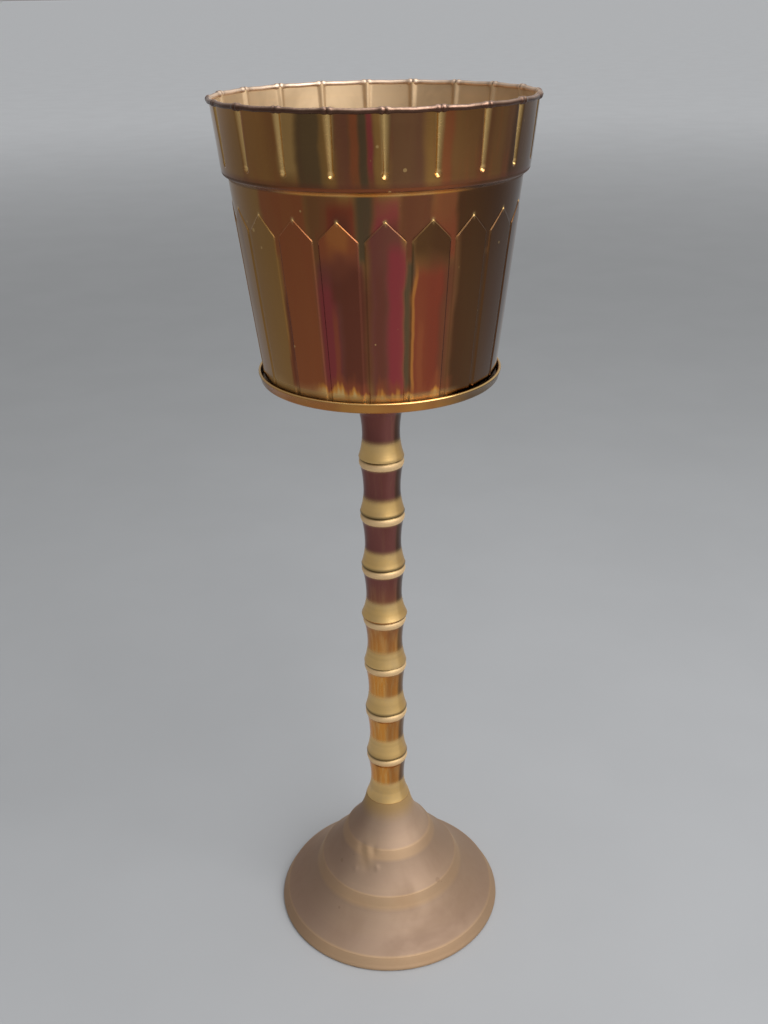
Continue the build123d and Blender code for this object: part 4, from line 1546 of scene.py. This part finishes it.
def build_world(settings):
    """Soft surroundings, brighter overhead and on the right."""
    world = bpy.data.worlds.new("soft room")
    bpy.context.scene.world = world
    world.use_nodes = True
    tree = world.node_tree
    brightest = (0.85, -0.25, 0.35)
    way = value_of(tree, "TexCoord", output="Generated")
    slope = value_of(tree, "VectorMath", {0: way, 1: brightest}, "Value", operation="DOT_PRODUCT")
    background = tree.nodes["Background"]
    tone = mixed(tree, slope.ramp(-0.8, 0.8), (0.42, 0.42, 0.43), (1.0, 1.0, 0.99))
    plug(background.inputs["Color"], tone)
    plug(background.inputs["Strength"], settings.room)


def build_camera(settings):
    """The camera at the front, looking down at the stand."""
    data = bpy.data.cameras.new("camera")
    data.lens = settings.camera_lens
    data.clip_end = 1000.0
    camera = bpy.data.objects.new("camera", data)
    place = Matrix.Rotation(-settings.camera_side, 4, "Z")
    place = place @ Matrix.Translation((0.0, -settings.camera_reach, settings.camera_height))
    look = Matrix.Rotation(-settings.camera_pan, 4, "Z")
    look = look @ Matrix.Rotation(pi / 2 - settings.camera_tilt, 4, "X")
    camera.matrix_world = place @ look @ Matrix.Rotation(settings.camera_roll, 4, "Z")
    bpy.context.scene.collection.objects.link(camera)
    bpy.context.scene.camera = camera


class STAND_OT_stage(bpy.types.Operator):
    """Build the floor, the lamps, the surroundings and the camera"""

    bl_idname = "stand.stage"
    bl_label = "Stage"

    def execute(self, context):
        settings = context.scene.stage_settings
        half = 400.0
        points = [(-half, -half, 0.0), (half, -half, 0.0), (half, half, 0.0), (-half, half, 0.0)]
        mesh = bpy.data.meshes.new("floor")
        mesh.from_pydata(points, [], [(0, 1, 2, 3)])
        floor = bpy.data.objects.new("floor", mesh)
        floor.data.materials.append(floor_material(settings))
        context.scene.collection.objects.link(floor)
        middle = (0.0, 0.0, 0.4)
        add_lamp("key lamp", (1.1, -1.2, 2.0), middle, size=2.0, power=settings.key)
        add_lamp("top lamp", (0.1, 0.1, 2.4), middle, size=1.6, power=settings.top)
        build_world(settings)
        build_camera(settings)
        context.scene.view_settings.view_transform = "Standard"
        return {"FINISHED"}


class STAND_PT_panel(bpy.types.Panel):
    """Sizes, colours and build buttons of the stand"""

    bl_idname = "STAND_PT_panel"
    bl_label = "Champagne Bucket Stand"
    bl_space_type = "VIEW_3D"
    bl_region_type = "UI"
    bl_category = "Bucket Stand"

    def draw(self, context):
        layout = self.layout
        for name, group in GROUPS.items():
            layout.label(text=name.replace("_", " ").capitalize())
            for key in group.__annotations__:
                layout.prop(getattr(context.scene, name), key)
        for operator in OPERATORS:
            layout.operator(operator.bl_idname)


OPERATORS = (
    STAND_OT_bucket,
    STAND_OT_tray,
    STAND_OT_stem,
    STAND_OT_base,
    STAND_OT_fasteners,
    STAND_OT_stage,
)
GROUPS = {
    "bucket_sizes": BucketSizes,
    "stand_sizes": StandSizes,
    "finish_colours": FinishColours,
    "stage_settings": StageSettings,
}
CLASSES = (*GROUPS.values(), *OPERATORS, STAND_PT_panel)


def register():
    """Register the classes and give the scene its settings."""
    for kind in CLASSES:
        bpy.utils.register_class(kind)
    for name, group in GROUPS.items():
        setattr(bpy.types.Scene, name, PointerProperty(type=group))


def unregister():
    """Undo register."""
    for name in GROUPS:
        delattr(bpy.types.Scene, name)
    for kind in reversed(CLASSES):
        bpy.utils.unregister_class(kind)


def main():
    """Register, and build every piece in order."""
    register()
    bpy.ops.stand.bucket()
    bpy.ops.stand.tray()
    bpy.ops.stand.stem()
    bpy.ops.stand.base()
    bpy.ops.stand.fasteners()
    bpy.ops.stand.stage()


if __name__ == "__main__":
    main()
